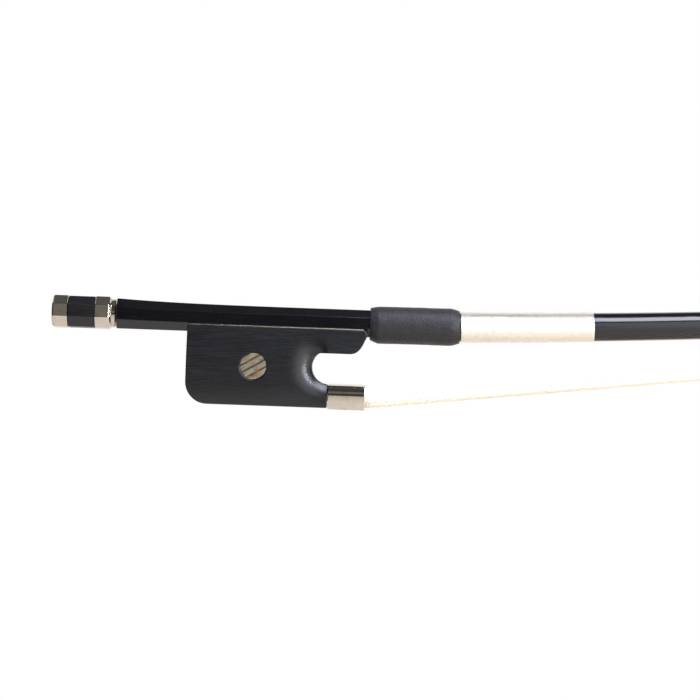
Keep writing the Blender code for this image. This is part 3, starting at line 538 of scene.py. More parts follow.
@dataclass(frozen=True)
class Finish:
    """A real surface: its name, the record's slot it stands for, its colour and its roughness.

    The frame's own plain materials are named for their slots, so no finish has the name of a slot.
    """

    name: str
    slot: str
    colour: str
    roughness: float
    metallic: float = 0.0
    coat: float = 0.0

    def material(self) -> bpy.types.Material:
        """Make the material, or give it if it's made already.

        Returns:
            The material.
        """
        made = bpy.data.materials.get(self.name)
        if made is None:
            made = bpy.data.materials.new(self.name)
            made.use_nodes = True
            tree = made.node_tree
            shader = tree.nodes["Principled BSDF"]
            plain = {
                "Base Color": linear(self.colour),
                "Roughness": self.roughness,
                "Metallic": self.metallic,
                "Coat Weight": self.coat,
            }
            feed(tree, shader, plain)
            feed(tree, shader, self.dress(tree, shader))
        return made

    def dress(self, tree: bpy.types.NodeTree, shader: bpy.types.Node) -> Inputs:
        """Add what the making of the surface gives the eye.

        Args:
            tree: The material's node tree.
            shader: Its Principled shader.

        Returns:
            What the shader's inputs are set or linked to.
        """
        return {}

    def spread(
        self, value: bpy.types.NodeSocket, low: float, high: float, less: float, more: float
    ) -> Inputs:
        """Inputs that vary the roughness by a pattern.

        Args:
            value: The pattern.
            low: Its value where the surface is smoothest.
            high: Its value where it is roughest.
            less: How far the roughness falls there.
            more: How far it rises there.

        Returns:
            The inputs.
        """
        return between(value, low, high, self.roughness - less, self.roughness + more)


@dataclass(frozen=True)
class BlackLacquer(Finish):
    """Hardwood dyed black and rubbed with thin lacquer: deep and even, with a slow ripple in the shine."""

    name: str = "rubbed_black_lacquer"
    slot: str = "black_lacquer"
    colour: str = "06060a"
    roughness: float = 0.16
    ior: float = 1.56
    # The wood's filled pores are about 0.1 mm wide. They are drawn wider, or they wouldn't show.
    pore: Cell = (9.0, 0.25, 0.25)
    ripple: Cell = (10.0, 2.5, 2.5)
    relief: float = 0.03

    def dress(self, tree: bpy.types.NodeTree, shader: bpy.types.Node) -> Inputs:
        """Pores drawn out along the stick, and a ripple from rubbing.

        Args:
            tree: The material's node tree.
            shader: Its Principled shader.

        Returns:
            What the shader's inputs are set or linked to.
        """
        pores = grain(tree, self.pore, 4.0, True)
        slow = grain(tree, self.ripple, 2.0, True)
        both = add(tree, "ShaderNodeMath", summed(pores, 0.12, slow), operation="MULTIPLY_ADD")
        return {
            "IOR": self.ior,
            "Roughness": add(tree, "ShaderNodeMapRange", self.spread(pores, 0.35, 0.75, 0.03, 0.05)),
            "Normal": add(tree, "ShaderNodeBump", raised(both, self.relief)),
        }


@dataclass(frozen=True)
class OiledEbony(Finish):
    """Ebony cut along the grain, sanded fine and oiled: satin, with short pale streaks and dark pores."""

    name: str = "oiled_ebony"
    slot: str = "ebony"
    colour: str = "141518"
    roughness: float = 0.29
    streak: Cell = (14.0, 0.5, 0.35)
    # Ebony's pores are under 0.1 mm wide, and are drawn a little wider to show.
    pore: Cell = (7.0, 0.16, 0.13)
    cloud: Cell = (26.0, 9.0, 7.0)
    relief: float = 0.003

    def dress(self, tree: bpy.types.NodeTree, shader: bpy.types.Node) -> Inputs:
        """Streaks along the handle, and pores that catch no light.

        Args:
            tree: The material's node tree.
            shader: Its Principled shader.

        Returns:
            What the shader's inputs are set or linked to.
        """
        streak = grain(tree, self.streak, 4.0, True)
        pore = grain(tree, self.pore, 2.0, True)
        cloud = grain(tree, self.cloud, 2.0, True)
        mixed = add(tree, "ShaderNodeMath", summed(cloud, 0.8, streak), operation="MULTIPLY_ADD")
        shade = add(tree, "ShaderNodeMapRange", between(mixed, 0.55, 1.25, 0.0, 1.0))
        stops = ((0.0, "070809"), (0.5, "0c0d10"), (1.0, "17181b"))
        whole = add(tree, "ShaderNodeMapRange", between(pore, 0.3, 0.42, 0.0, 1.0))
        return {
            "Base Color": add(tree, "ShaderNodeValToRGB", {"Fac": shade}, stops=stops),
            "Roughness": add(tree, "ShaderNodeMapRange", self.spread(pore, 0.35, 0.7, 0.06, 0.12)),
            "Normal": add(tree, "ShaderNodeBump", raised(whole, self.relief)),
        }


@dataclass(frozen=True)
class NickelSilver(Finish):
    """Nickel silver sheet, filed and polished by hand: bright, warm, with a faint bloom of tarnish."""

    name: str = "polished_nickel_silver"
    slot: str = "nickel_silver"
    colour: str = "cbc7bc"
    roughness: float = 0.045
    metallic: float = 1.0
    bloom: Cell = (2.6, 2.6, 2.6)
    # Polishing leaves lines a few microns apart. They are drawn 0.07 mm apart, or they wouldn't show.
    line: Cell = (5.0, 0.07, 0.07)
    relief: float = 0.0002

    def dress(self, tree: bpy.types.NodeTree, shader: bpy.types.Node) -> Inputs:
        """Bloom in patches, and fine polishing lines along the handle.

        Args:
            tree: The material's node tree.
            shader: Its Principled shader.

        Returns:
            What the shader's inputs are set or linked to.
        """
        bloom = grain(tree, self.bloom, 4.0)
        lines = grain(tree, self.line, 3.0, True)
        mixed = add(tree, "ShaderNodeMath", summed(bloom, 0.8, lines), operation="MULTIPLY_ADD")
        stops = ((0.3, "d2ccc1"), (0.62, "c9c1b4"), (0.8, "b0a694"))
        return {
            "Base Color": add(tree, "ShaderNodeValToRGB", {"Fac": bloom}, stops=stops),
            "Roughness": add(tree, "ShaderNodeMapRange", self.spread(mixed, 0.6, 1.2, 0.01, 0.015)),
            "Normal": add(tree, "ShaderNodeBump", raised(lines, self.relief)),
        }


@dataclass(frozen=True)
class SilverWire(Finish):
    """Drawn silver wire wound tight: bright on each turn's crown, grey where dirt stays between turns."""

    name: str = "drawn_silver_wire"
    slot: str = "silver_wire"
    colour: str = "f4f1e8"
    roughness: float = 0.36
    metallic: float = 1.0
    patch: Cell = (1.6, 1.1, 1.1)

    def dress(self, tree: bpy.types.NodeTree, shader: bpy.types.Node) -> Inputs:
        """Worn patches that run over several turns.

        Args:
            tree: The material's node tree.
            shader: Its Principled shader.

        Returns:
            What the shader's inputs are set or linked to.
        """
        worn = grain(tree, self.patch, 4.0)
        stops = ((0.3, "fffdf8"), (0.6, "f8f4ea"), (0.8, "ddd8ca"))
        return {
            "Base Color": add(tree, "ShaderNodeValToRGB", {"Fac": worn}, stops=stops),
            "Roughness": add(tree, "ShaderNodeMapRange", self.spread(worn, 0.3, 0.8, 0.06, 0.12)),
        }


@dataclass(frozen=True)
class Goatskin(Finish):
    """Black goatskin, pared thin and glued on wet: small tight pebbles, drier in the creases."""

    name: str = "black_goatskin"
    slot: str = "leather"
    colour: str = "1c1c20"
    roughness: float = 0.4
    pebble: Cell = (0.62, 0.62, 0.62)
    fine: Cell = (0.12, 0.12, 0.12)
    relief: float = 0.045

    def dress(self, tree: bpy.types.NodeTree, shader: bpy.types.Node) -> Inputs:
        """Pebbles with creases between them, over a slow unevenness, with painted shade that darkens the
        creases.

        Args:
            tree: The material's node tree.
            shader: Its Principled shader.

        Returns:
            What the shader's inputs are set or linked to.
        """
        slow = {"Vector": in_mm(tree), "Scale": 0.9, "Detail": 2.0}
        wander = add(tree, "ShaderNodeTexNoise", slow, "Color")
        shift = {0: wander, 1: (0.8, 0.8, 0.8), 2: in_mm(tree, self.pebble)}
        moved = {"Vector": add(tree, "ShaderNodeVectorMath", shift, operation="MULTIPLY_ADD"), "Scale": 1.0}
        crease = add(tree, "ShaderNodeTexVoronoi", moved, "Distance", feature="DISTANCE_TO_EDGE")
        crown = add(tree, "ShaderNodeMapRange", between(crease, 0.0, 0.32, 0.0, 1.0))
        fine = grain(tree, self.fine, 3.0)
        height = add(tree, "ShaderNodeMath", summed(fine, 0.22, crown), operation="MULTIPLY_ADD")
        # Painted shade: the creases are coloured darker and the crowns lighter.
        stops = ((0.0, "0d0d0f"), (0.6, "1c1c20"), (1.0, "232329"))
        dry = between(crown, 0.0, 1.0, self.roughness + 0.2, self.roughness)
        return {
            "Base Color": add(tree, "ShaderNodeValToRGB", {"Fac": crown}, stops=stops),
            "Roughness": add(tree, "ShaderNodeMapRange", dry),
            "Normal": add(tree, "ShaderNodeBump", raised(height, self.relief)),
        }


@dataclass(frozen=True)
class Abalone(Finish):
    """Abalone shell ground flat and polished: wavy layers of grey, cream and green, brown growth lines."""

    name: str = "abalone_shell"
    slot: str = "abalone"
    colour: str = "8c8a7c"
    roughness: float = 0.16
    coat: float = 0.4
    # The layers rise by this many degrees, and the growth lines are this many millimetres apart.
    lean: float = 25.0
    spacing: float = 2.3
    # Changes of tone for each millimetre along, across and through the layers.
    tones: Cell = (0.25, 0.25, 0.9)
    patch: Cell = (2.4, 2.4, 1.5)

    def dress(self, tree: bpy.types.NodeTree, shader: bpy.types.Node) -> Inputs:
        """Bands that rise to the right between brown growth lines, with a rusty patch.

        Args:
            tree: The material's node tree.
            shader: Its Principled shader.

        Returns:
            What the shader's inputs are set or linked to.
        """
        turn = (0.0, math.radians(self.lean), 0.0)
        place = add(tree, "ShaderNodeMapping", {"Vector": in_mm(tree), "Rotation": turn})
        # At scale 1 the wave repeats every tau / 20.
        bands = {
            "Vector": place,
            "Scale": math.tau / 20 / self.spacing,
            "Distortion": 3.2,
            "Detail": 3.0,
            "Detail Scale": 0.35,
        }
        wave = add(tree, "ShaderNodeTexWave", bands, "Fac", bands_direction="Z")
        tone = add(tree, "ShaderNodeMapping", {"Vector": place, "Scale": self.tones})
        level = add(tree, "ShaderNodeTexNoise", {"Vector": tone, "Scale": 1.0, "Detail": 4.0}, "Fac")
        stops = ((0.3, "565447"), (0.42, "7a715d"), (0.5, "89806c"), (0.58, "617064"), (0.68, "7b7564"))
        sheen = add(tree, "ShaderNodeValToRGB", {"Fac": level}, stops=stops)
        grown = add(tree, "ShaderNodeMapRange", between(wave, 0.04, 0.34, 1.0, 0.0))
        lined = {0: grown, 6: sheen, 7: linear("3c3222")}
        rust = add(tree, "ShaderNodeMapRange", between(grain(tree, self.patch, 1.0), 0.6, 0.7, 0.0, 0.65))
        rusty = {0: rust, 6: add(tree, "ShaderNodeMix", lined, 2, data_type="RGBA"), 7: linear("7d5226")}
        return {"Base Color": add(tree, "ShaderNodeMix", rusty, 2, data_type="RGBA")}


@dataclass(frozen=True)
class Horsehair(Finish):
    """White horsehair, washed and rosined: each hair a little different, pale cream and softly shiny."""

    name: str = "white_horsehair"
    slot: str = "horsehair"
    colour: str = "f6ecdc"
    roughness: float = 0.35
    clearness: float = 0.3
    # Painted light: the hairs glow a little of their own, which makes them look brighter.
    painted_glow: float = 0.15

    def dress(self, tree: bpy.types.NodeTree, shader: bpy.types.Node) -> Inputs:
        """Colour by hair, light that passes through, and a painted glow that makes the hairs give off a
        little light of their own.

        Args:
            tree: The material's node tree.
            shader: Its Principled shader.

        Returns:
            What the shader's inputs are set or linked to.
        """
        own = add(tree, "ShaderNodeAttribute", output="Fac", attribute_name=OWN_SHADE)
        stops = ((0.0, "f0e0c8"), (0.35, "fbf2e4"), (1.0, "fffaf2"))
        colour = add(tree, "ShaderNodeValToRGB", {"Fac": own}, stops=stops)
        through = add(tree, "ShaderNodeBsdfTranslucent", {"Color": colour})
        both = add(tree, "ShaderNodeMixShader", {0: self.clearness, 1: shader.outputs[0], 2: through})
        feed(tree, tree.nodes["Material Output"], {"Surface": both})
        return {"Base Color": colour, "Emission Color": colour, "Emission Strength": self.painted_glow}


@dataclass(frozen=True)
class PlainWood(Finish):
    """Maple split along the grain and cut with a knife: pale and dry, with fine darker lines."""

    name: str = "plain_maple"
    slot: str = "maple"
    colour: str = "cfae83"
    roughness: float = 0.62
    ray: Cell = (6.0, 0.4, 0.4)
    relief: float = 0.03

    def dress(self, tree: bpy.types.NodeTree, shader: bpy.types.Node) -> Inputs:
        """Fine rays and growth lines.

        Args:
            tree: The material's node tree.
            shader: Its Principled shader.

        Returns:
            What the shader's inputs are set or linked to.
        """
        rays = grain(tree, self.ray, 4.0)
        stops = ((0.3, "b98f62"), (0.55, "d0af85"), (0.8, "dec49e"))
        return {
            "Base Color": add(tree, "ShaderNodeValToRGB", {"Fac": rays}, stops=stops),
            "Normal": add(tree, "ShaderNodeBump", raised(rays, self.relief)),
        }


@dataclass(frozen=True)
class PolishedBone(Finish):
    """Bone sawn thin, scraped and polished: cream, with faint flecks."""

    name: str = "polished_bone"
    slot: str = "bone"
    colour: str = "ece5d4"
    roughness: float = 0.25
    coat: float = 0.3
    fleck: Cell = (3.5, 0.35, 0.35)

    def dress(self, tree: bpy.types.NodeTree, shader: bpy.types.Node) -> Inputs:
        """Flecks along the plate, under a soft glow.

        Args:
            tree: The material's node tree.
            shader: Its Principled shader.

        Returns:
            What the shader's inputs are set or linked to.
        """
        flecks = grain(tree, self.fleck, 4.0)
        stops = ((0.3, "dccfb3"), (0.5, "ece5d4"), (0.8, "f3eee2"))
        return {
            "Base Color": add(tree, "ShaderNodeValToRGB", {"Fac": flecks}, stops=stops),
            "Subsurface Weight": 0.15,
            "Subsurface Scale": 0.5 * MM,
        }


@dataclass(frozen=True)
class TurnedMetal(Finish):
    """Metal bar turned on a lathe: rings of tool marks round the screw's axis."""

    name: str = "turned_steel"
    slot: str = "screw_steel"
    colour: str = "b9bbbd"
    roughness: float = 0.26
    metallic: float = 1.0
    # A lathe leaves marks about 0.05 mm apart. They are drawn 0.2 mm apart, or they wouldn't show.
    mark: Cell = (0.2, 30.0, 30.0)
    relief: float = 0.01

    def dress(self, tree: bpy.types.NodeTree, shader: bpy.types.Node) -> Inputs:
        """Tool marks round the axis.

        Args:
            tree: The material's node tree.
            shader: Its Principled shader.

        Returns:
            What the shader's inputs are set or linked to.
        """
        marks = grain(tree, self.mark, 2.0, True)
        return {
            "Roughness": add(tree, "ShaderNodeMapRange", self.spread(marks, 0.3, 0.7, 0.06, 0.1)),
            "Normal": add(tree, "ShaderNodeBump", raised(marks, self.relief)),
        }


LACQUER = BlackLacquer()
EBONY = OiledEbony()
NICKEL = NickelSilver()
# The underslide is rubbed by the thumb and the stick, so its shine is softer.
WORN_NICKEL = NickelSilver(name="worn_nickel_silver", roughness=0.24)
WIRE = SilverWire()
LEATHER = Goatskin()
SHELL = Abalone()
HAIR = Horsehair()
MAPLE = PlainWood()
BONE = PolishedBone()
STEEL = TurnedMetal()
BRASS = TurnedMetal(name="turned_brass", slot="brass", colour="d8b066", roughness=0.3)


def dressed(
    name: str, mesh: bpy.types.Mesh, finish: Finish, body: Body | None, *stands_for: str
) -> bpy.types.Object:
    """Put a mesh in the scene as a finished piece.

    Args:
        name: The piece's name.
        mesh: Its mesh, in the row frame.
        finish: Its surface.
        body: The body it rides on, or None if it rides on none.
        *stands_for: The frame's nodes that it replaces.

    Returns:
        The piece.
    """
    mesh.name = name
    mesh.materials.clear()
    mesh.materials.append(finish.material())
    made = shown(name, mesh)
    if body is not None:
        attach(made, body.value)
    if stands_for:
        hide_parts(*stands_for)
    LOG.info("%s: %d faces, for %s", name, len(mesh.polygons), ", ".join(stands_for) or "no node")
    return made


def refinished(finish: Finish, *names: str) -> None:
    """Give nodes of the frame a real surface.

    Args:
        finish: The surface.
        *names: The nodes.
    """
    for name in names:
        node = frame["nodes"][name]
        node.material_slots[0].material = finish.material()
        LOG.info("%s: kept from the frame", name)


@dataclass(frozen=True)
class Shaft:
    """The line and the thickness of the stick past the handle, measured along the bow."""

    start_u: float = 64.3 * MM
    flats: float = 9.6 * MM
    grip_end: Point = (36.05 * MM, 26.5 * MM)
    grip_slope: float = -0.089
    head_start: Point = (528.0 * MM, 26.3 * MM)
    head_slope: float = 0.095
    winding_end: float = 83.6 * MM
    thick: float = 10.1 * MM
    thin: float = 7.6 * MM
    taper: float = 1.35

    def start(self) -> Point:
        """Where the handle's straight part ends."""
        place = HANDLE.at(self.start_u, 0.0, HANDLE.stick_v) - FERRULE_EDGE
        return place.x, place.z

    def line(self, x: float) -> Point:
        """Height and slope of the centre line.

        Args:
            x: Place along the bow.

        Returns:
            The height and the slope there.
        """
        if x < self.grip_end[0]:
            ends = (self.start(), -math.tan(HANDLE.tilt()), self.grip_end, self.grip_slope)
        else:
            ends = (self.grip_end, self.grip_slope, self.head_start, self.head_slope)
        (x0, z0), slope0, (x1, z1), slope1 = ends
        run = x1 - x0
        t = (x - x0) / run
        height = (2 * t ** 3 - 3 * t * t + 1) * z0 + (t ** 3 - 2 * t * t + t) * run * slope0
        height += (3 * t * t - 2 * t ** 3) * z1 + (t ** 3 - t * t) * run * slope1
        slope = (6 * t * t - 6 * t) * (z0 - z1) / run
        slope += (3 * t * t - 4 * t + 1) * slope0 + (3 * t * t - 2 * t) * slope1
        return height, slope

    def half(self, x: float) -> float:
        """Half the stick's thickness, which turns from octagon to round under the grip.

        Args:
            x: Place along the bow.

        Returns:
            Half its width across the flats there.
        """
        along = min(max((x - self.winding_end) / (self.head_start[0] - self.winding_end), 0.0), 1.0)
        shaft = (self.thin + (self.thick - self.thin) * (1 - along) ** self.taper) / 2
        return self.flats / 2 + (shaft - self.flats / 2) * self.roundness(x)

    def roundness(self, x: float) -> float:
        """How far the octagon has turned into a circle."""
        start = self.start()[0]
        return eased((x - start) / (self.grip_end[0] - start))

    def ring(self, x: float, half: float, section: Sequence[Point], lift: float = 0.0) -> list[Vector]:
        """Ring square to the stick's line.

        Args:
            x: Place along the bow.
            half: Half thickness.
            section: Section of unit half width.
            lift: How far it is raised.

        Returns:
            The ring in the row frame.
        """
        if x < self.start()[0]:
            slope = -math.tan(HANDLE.tilt())
            height = self.start()[1] + (x - self.start()[0]) * slope
        else:
            height, slope = self.line(x)
        tilt = math.atan(slope)
        up = Vector((-math.sin(tilt), 0, math.cos(tilt)))
        middle = along_bow(x, 0, height) + up * lift
        return [middle + Vector((0, y * half, 0)) + up * v * half for y, v in section]


SHAFT = Shaft()


@dataclass
class Stick:
    """The stick: an octagonal handle that turns round under the grip, a tapered shaft and the head."""

    rear_flats: float = 10.7 * MM
    swell_power: float = 4.5
    edge: float = 0.07
    end_rounding: float = 0.3 * MM
    rounding_turns: tuple[float, ...] = (0.0, 0.5, 1.05)
    handle_step: float = 4.0 * MM
    handle_count: int = 21
    shaft_step: float = 4.0 * MM
    face_rear: Point = (549.0 * MM, 5.0 * MM)
    face_nose: Point = (584.0 * MM, 1.9 * MM)
    crest: Point = (563.5 * MM, 31.2 * MM)
    crest_lead: Point = (540.0 * MM, 31.2 * MM)
    crest_follow: Point = (553.0 * MM, 33.2 * MM)
    ridge_lead: Point = (574.0 * MM, 29.2 * MM)
    ridge_follow: Point = (573.0 * MM, 8.0 * MM)
    throat_lead: Point = (540.0 * MM, 23.6 * MM)
    throat_follow: Point = (548.5 * MM, 22.0 * MM)
    head_half_width: float = 6.3 * MM
    narrowing: float = 0.42
    fullness: float = 0.16
    crest_reach: float = 0.991
    widening: float = 1.15
    narrow_power: float = 1.5
    head_steps: int = 64
    mortise: Point = (557.0 * MM, 568.5 * MM)
    mortise_low: float = -2 * MM
    mortise_top: float = 15.0 * MM
    mortise_half: float = 4.4 * MM
    bore: float = 1.8 * MM
    bore_ends: Point = (-8 * MM, 35 * MM)
    nipple: Point = (3.2 * MM, 3.6 * MM)
    nipple_root: float = 2 * MM
    # Corners of the eyelet's mortise, measured from the screw's axis.
    eyelet_low: Place = (12.6 * MM, -2.9 * MM, -8 * MM)
    eyelet_high: Place = (27.3 * MM, 2.9 * MM, 3.1 * MM)

    def growth(self, u: float) -> float:
        """How much thicker the handle is than at the grip: it swells slowly towards its rear end."""
        along = (u - HANDLE.rear_u) / (SHAFT.start_u - HANDLE.rear_u)
        return (self.rear_flats - SHAFT.flats) * (1 - along) ** self.swell_power

    def handle_rings(self) -> list[list[Vector]]:
        """Draw the octagonal handle, with its rear end rounded over.

        Returns:
            Its rings.
        """
        section = rounded_octagon(self.edge, 0.0)
        rings = []
        rear, size = HANDLE.rear_u, self.end_rounding
        places = [(rear + size * (1 - math.cos(a)), 1 - math.sin(a)) for a in self.rounding_turns]
        places += [(rear + size, 0.0)]
        places += [(rear + (k + 1) * self.handle_step, 0.0) for k in range(self.handle_count)]
        for u, inset in places:
            x = (HANDLE.at(u, 0.0, HANDLE.stick_v) - FERRULE_EDGE).x
            half = (SHAFT.flats + self.growth(u)) / 2 - inset * self.end_rounding
            rings.append(SHAFT.ring(x, half, section, self.growth(u) / 2))
        return rings

    def shaft_rings(self) -> list[list[Vector]]:
        """Draw the stick from the grip to the head.

        Returns:
            Its rings.
        """
        start = SHAFT.start()[0]
        count = round((SHAFT.head_start[0] - start) / self.shaft_step)
        rings = []
        for k in range(count):
            x = start + (SHAFT.head_start[0] - start) * k / count
            rings.append(SHAFT.ring(x, SHAFT.half(x), rounded_octagon(self.edge, SHAFT.roundness(x))))
        return rings

    def head_rings(self) -> list[list[Vector]]:
        """Draw the head, which turns from the round shaft to a flat face.

        Returns:
            Its rings.
        """
        thin = SHAFT.thin / 2
        x, z = SHAFT.head_start
        half = self.head_steps // 2
        top_start = (x - thin * SHAFT.head_slope, z + thin)
        top = bezier(top_start, self.crest_lead, self.crest_follow, self.crest, half)
        top += bezier(self.crest, self.ridge_lead, self.ridge_follow, self.face_nose, half)[1:]
        low_start = (x + thin * SHAFT.head_slope, z - thin)
        low = bezier(low_start, self.throat_lead, self.throat_follow, self.face_rear, self.head_steps)
        rings = []
        for k, (above, below) in enumerate(zip(top, low)):
            middle = along_bow((above[0] + below[0]) / 2, 0, (above[1] + below[1]) / 2)
            reach = (along_bow(above[0], 0, above[1]) - middle) * self.crest_reach
            spread = eased(k / self.head_steps * self.widening)
            width = thin + (self.head_half_width - thin) * spread
            ring = []
            for y, v in rounded_octagon(self.edge, 1.0):
                narrow = 1 - self.narrowing * spread * max(v, 0.0) ** self.narrow_power
                full = 1 + self.fullness * spread * abs(y) * abs(v)
                ring.append(middle + reach * v + Vector((0, y * width * narrow * full, 0)))
            rings.append(ring)
        return rings

    def pocket(self) -> bpy.types.Mesh:
        """The hair's mortise in the head, open through the face, the liner and the plate."""
        low = along_bow(self.mortise[0], -self.mortise_half, self.mortise_low)
        return box(low, along_bow(self.mortise[1], self.mortise_half, self.mortise_top))

    def build(self) -> None:
        """Skin the stick and cut what the screw, the eyelet and the hair need."""
        mesh = loft(self.handle_rings() + self.shaft_rings() + self.head_rings())
        rear, axis = HANDLE.rear_u, Matrix.Translation((0, 0, HANDLE.axis_v))
        radius, length = self.nipple
        nipple = rod(rear - length, rear + self.nipple_root, radius)
        bore = rod(rear + self.bore_ends[0], self.bore_ends[1], self.bore)
        slot = box(self.eyelet_low, self.eyelet_high)
        for tool in (nipple, bore, slot):
            tool.transform(HANDLE.matrix() @ axis)
        cuts = (bore, slot, self.pocket())
        steps = [("UNION", nipple)] + [("DIFFERENCE", cut) for cut in cuts]
        mesh = smooth(carved(mesh, steps), 30)
        dressed("stick_lacquered", mesh, LACQUER, Body.STICK, "stick")


@dataclass
class Head:
    """Liner and plate on the head's face. The plug and the knot stay as the frame has them."""

    stick: Stick
    gap: float = 0.3 * MM
    liner: float = 0.5 * MM
    plate: float = 1.1 * MM
    inset: float = 0.15 * MM
    bevel: float = 0.25 * MM

    def matrix(self) -> Matrix:
        """Give the face's place.

        Returns:
            What turns x along the face from its rear edge, y, and z out of the head into the row frame.
        """
        rear = along_bow(self.stick.face_rear[0], 0, self.stick.face_rear[1])
        along = (along_bow(self.stick.face_nose[0], 0, self.stick.face_nose[1]) - rear).normalized()
        out = Vector((0, 1, 0)).cross(along)
        turn = Matrix((along, out.cross(along), out)).transposed().to_4x4()
        return Matrix.Translation(rear) @ turn

    def outline(self, inset: float) -> list[Point]:
        """Draw the plan of the face.

        Args:
            inset: How far it is drawn in.

        Returns:
            Its outline.
        """
        place = self.matrix().inverted()
        ring = [place @ point for point in self.stick.head_rings()[-1]]
        middle = sum(point.x for point in ring) / len(ring)
        shrink = 1 - inset / self.stick.head_half_width
        return [(middle + (point.x - middle) * shrink, point.y * shrink) for point in ring]

    def build(self) -> None:
        """Stack both layers, round their edges and open them for the hair."""
        start = self.gap
        for name, depth, finish in (("head_liner", self.liner, EBONY), ("head_plate", self.plate, BONE)):
            bevel = min(self.bevel, depth / 3)
            ease = bevel * EDGE_SHARE
            levels = ((0, 0), (depth - bevel, 0), (depth - ease, ease), (depth, bevel))
            rings = []
            for height, inset in levels:
                outline = self.outline(self.inset + inset)
                rings.append([self.matrix() @ Vector((x, y, start + height)) for x, y in outline])
            mesh = smooth(carved(loft(rings), (("DIFFERENCE", self.stick.pocket()),)), 40)
            dressed(f"{name}_rounded", mesh, finish, Body.STICK, name)
            start += depth + self.gap
        refinished(MAPLE, "head_wedge")
        refinished(HAIR, "head_hair_knot")


@dataclass
class Grip:
    """The padded leather grip."""

    radius: float = 6.6 * MM
    end_round: float = 3.0 * MM
    end_drop: float = 0.9 * MM
    end_power: float = 1.3
    # The leather sags this far under the stick at its rear end, and not at all past this share of it.
    sag: float = 0.36 * MM
    sag_share: float = 0.6
    start_gap: float = 0.1 * MM
    clearance: float = 0.3 * MM
    sides: int = 160
    step: float = 0.22 * MM
    # Depths of the slow swell and of the pebbles, and how many of them there are in a metre.
    swell: float = 0.06 * MM
    swell_rate: float = 320
    pebble: float = 0.045 * MM
    pebble_rate: float = 1500
    # The seam's place and half width round the grip in radians, and its depth.
    seam_turn: float = 0.35
    seam_half: float = 0.035
    seam_depth: float = 0.18 * MM
    lining_steps: int = 12

    def build(self) -> None:
        """Skin the leather with rounded ends, a slight unevenness and a butted seam on the far side."""
        start = SHAFT.start()[0] + self.start_gap
        end = SHAFT.grip_end[0]
        count = round((end - start) / self.step)
        turn = [math.tau * k / self.sides for k in range(self.sides)]
        section = [(math.cos(a), math.sin(a)) for a in turn]
        skin = []
        for k in range(count + 1):
            x = start + (end - start) * k / count
            fall = max(1 - min(x - start, end - x) / self.end_round, 0.0)
            radius = self.radius - self.end_drop * fall ** self.end_power
            sag = self.sag * (1 - eased(k / count / self.sag_share)) * (1 - fall)
            ring = SHAFT.ring(x, radius, section, -sag)
            middle = sum(ring, Vector()) / len(ring)
            for n, point in enumerate(ring):
                rise = noise.noise(point * self.swell_rate) * self.swell
                rise += noise.noise(point * self.pebble_rate) * self.pebble
                seam = math.exp(-((turn[n] - self.seam_turn) / self.seam_half) ** 2) * self.seam_depth
                ring[n] = point + (point - middle).normalized() * (rise - seam)
            skin.append(ring)
        lining = []
        for k in range(self.lining_steps + 1):
            x = start + (end - start) * k / self.lining_steps
            lining.append(SHAFT.ring(x, SHAFT.half(x) + self.clearance, section))
        rings = skin + list(reversed(lining))
        dressed("grip_leather", loft(rings, closed=True), LEATHER, Body.STICK, "leather_grip")


@dataclass
class Winding:
    """Silver wire wound close round the stick, from the leather to the shaft."""

    wire: float = 0.33 * MM
    start_radius: float = 5.55 * MM
    end_radius: float = 5.35 * MM
    sides: int = 72
    wire_sides: int = 8
    # The turns are drawn a little thinner than their pitch, so that none cuts into the next.
    fullness: float = 0.985
    start_gap: float = 0.3 * MM

    def build(self) -> None:
        """Sweep the wire along its helix, and close both ends on the stick."""
        start = SHAFT.grip_end[0] + self.start_gap
        end = SHAFT.winding_end
        turns = round((end - start) / self.wire)
        pitch = (end - start) / turns
        wire = pitch / 2 * self.fullness
        section = [math.tau * n / self.wire_sides for n in range(self.wire_sides)]
        rings = []
        for k in range(turns * self.sides + 1):
            t = k / (turns * self.sides)
            x = start + wire + (end - start - 2 * wire) * t
            height, slope = SHAFT.line(x)
            outer = self.start_radius + (self.end_radius - self.start_radius) * t
            tilt = math.atan(slope)
            along = Vector((math.cos(tilt), 0, math.sin(tilt)))
            up = Vector((-math.sin(tilt), 0, math.cos(tilt)))
            angle = math.tau * k / self.sides
            out = Vector((0, math.cos(angle), 0)) + up * math.sin(angle)
            centre = along_bow(x, 0, height) + out * (outer - wire)
            rings.append([centre + (out * math.cos(a) + along * math.sin(a)) * wire for a in section])
        mesh = loft(rings)
        mesh.shade_smooth()
        dressed("winding_wire", mesh, WIRE, Body.STICK, "winding")
        LOG.info("winding: %d turns of %.2f mm wire", turns, wire * 2 / MM)


EYE_SIDES = 96


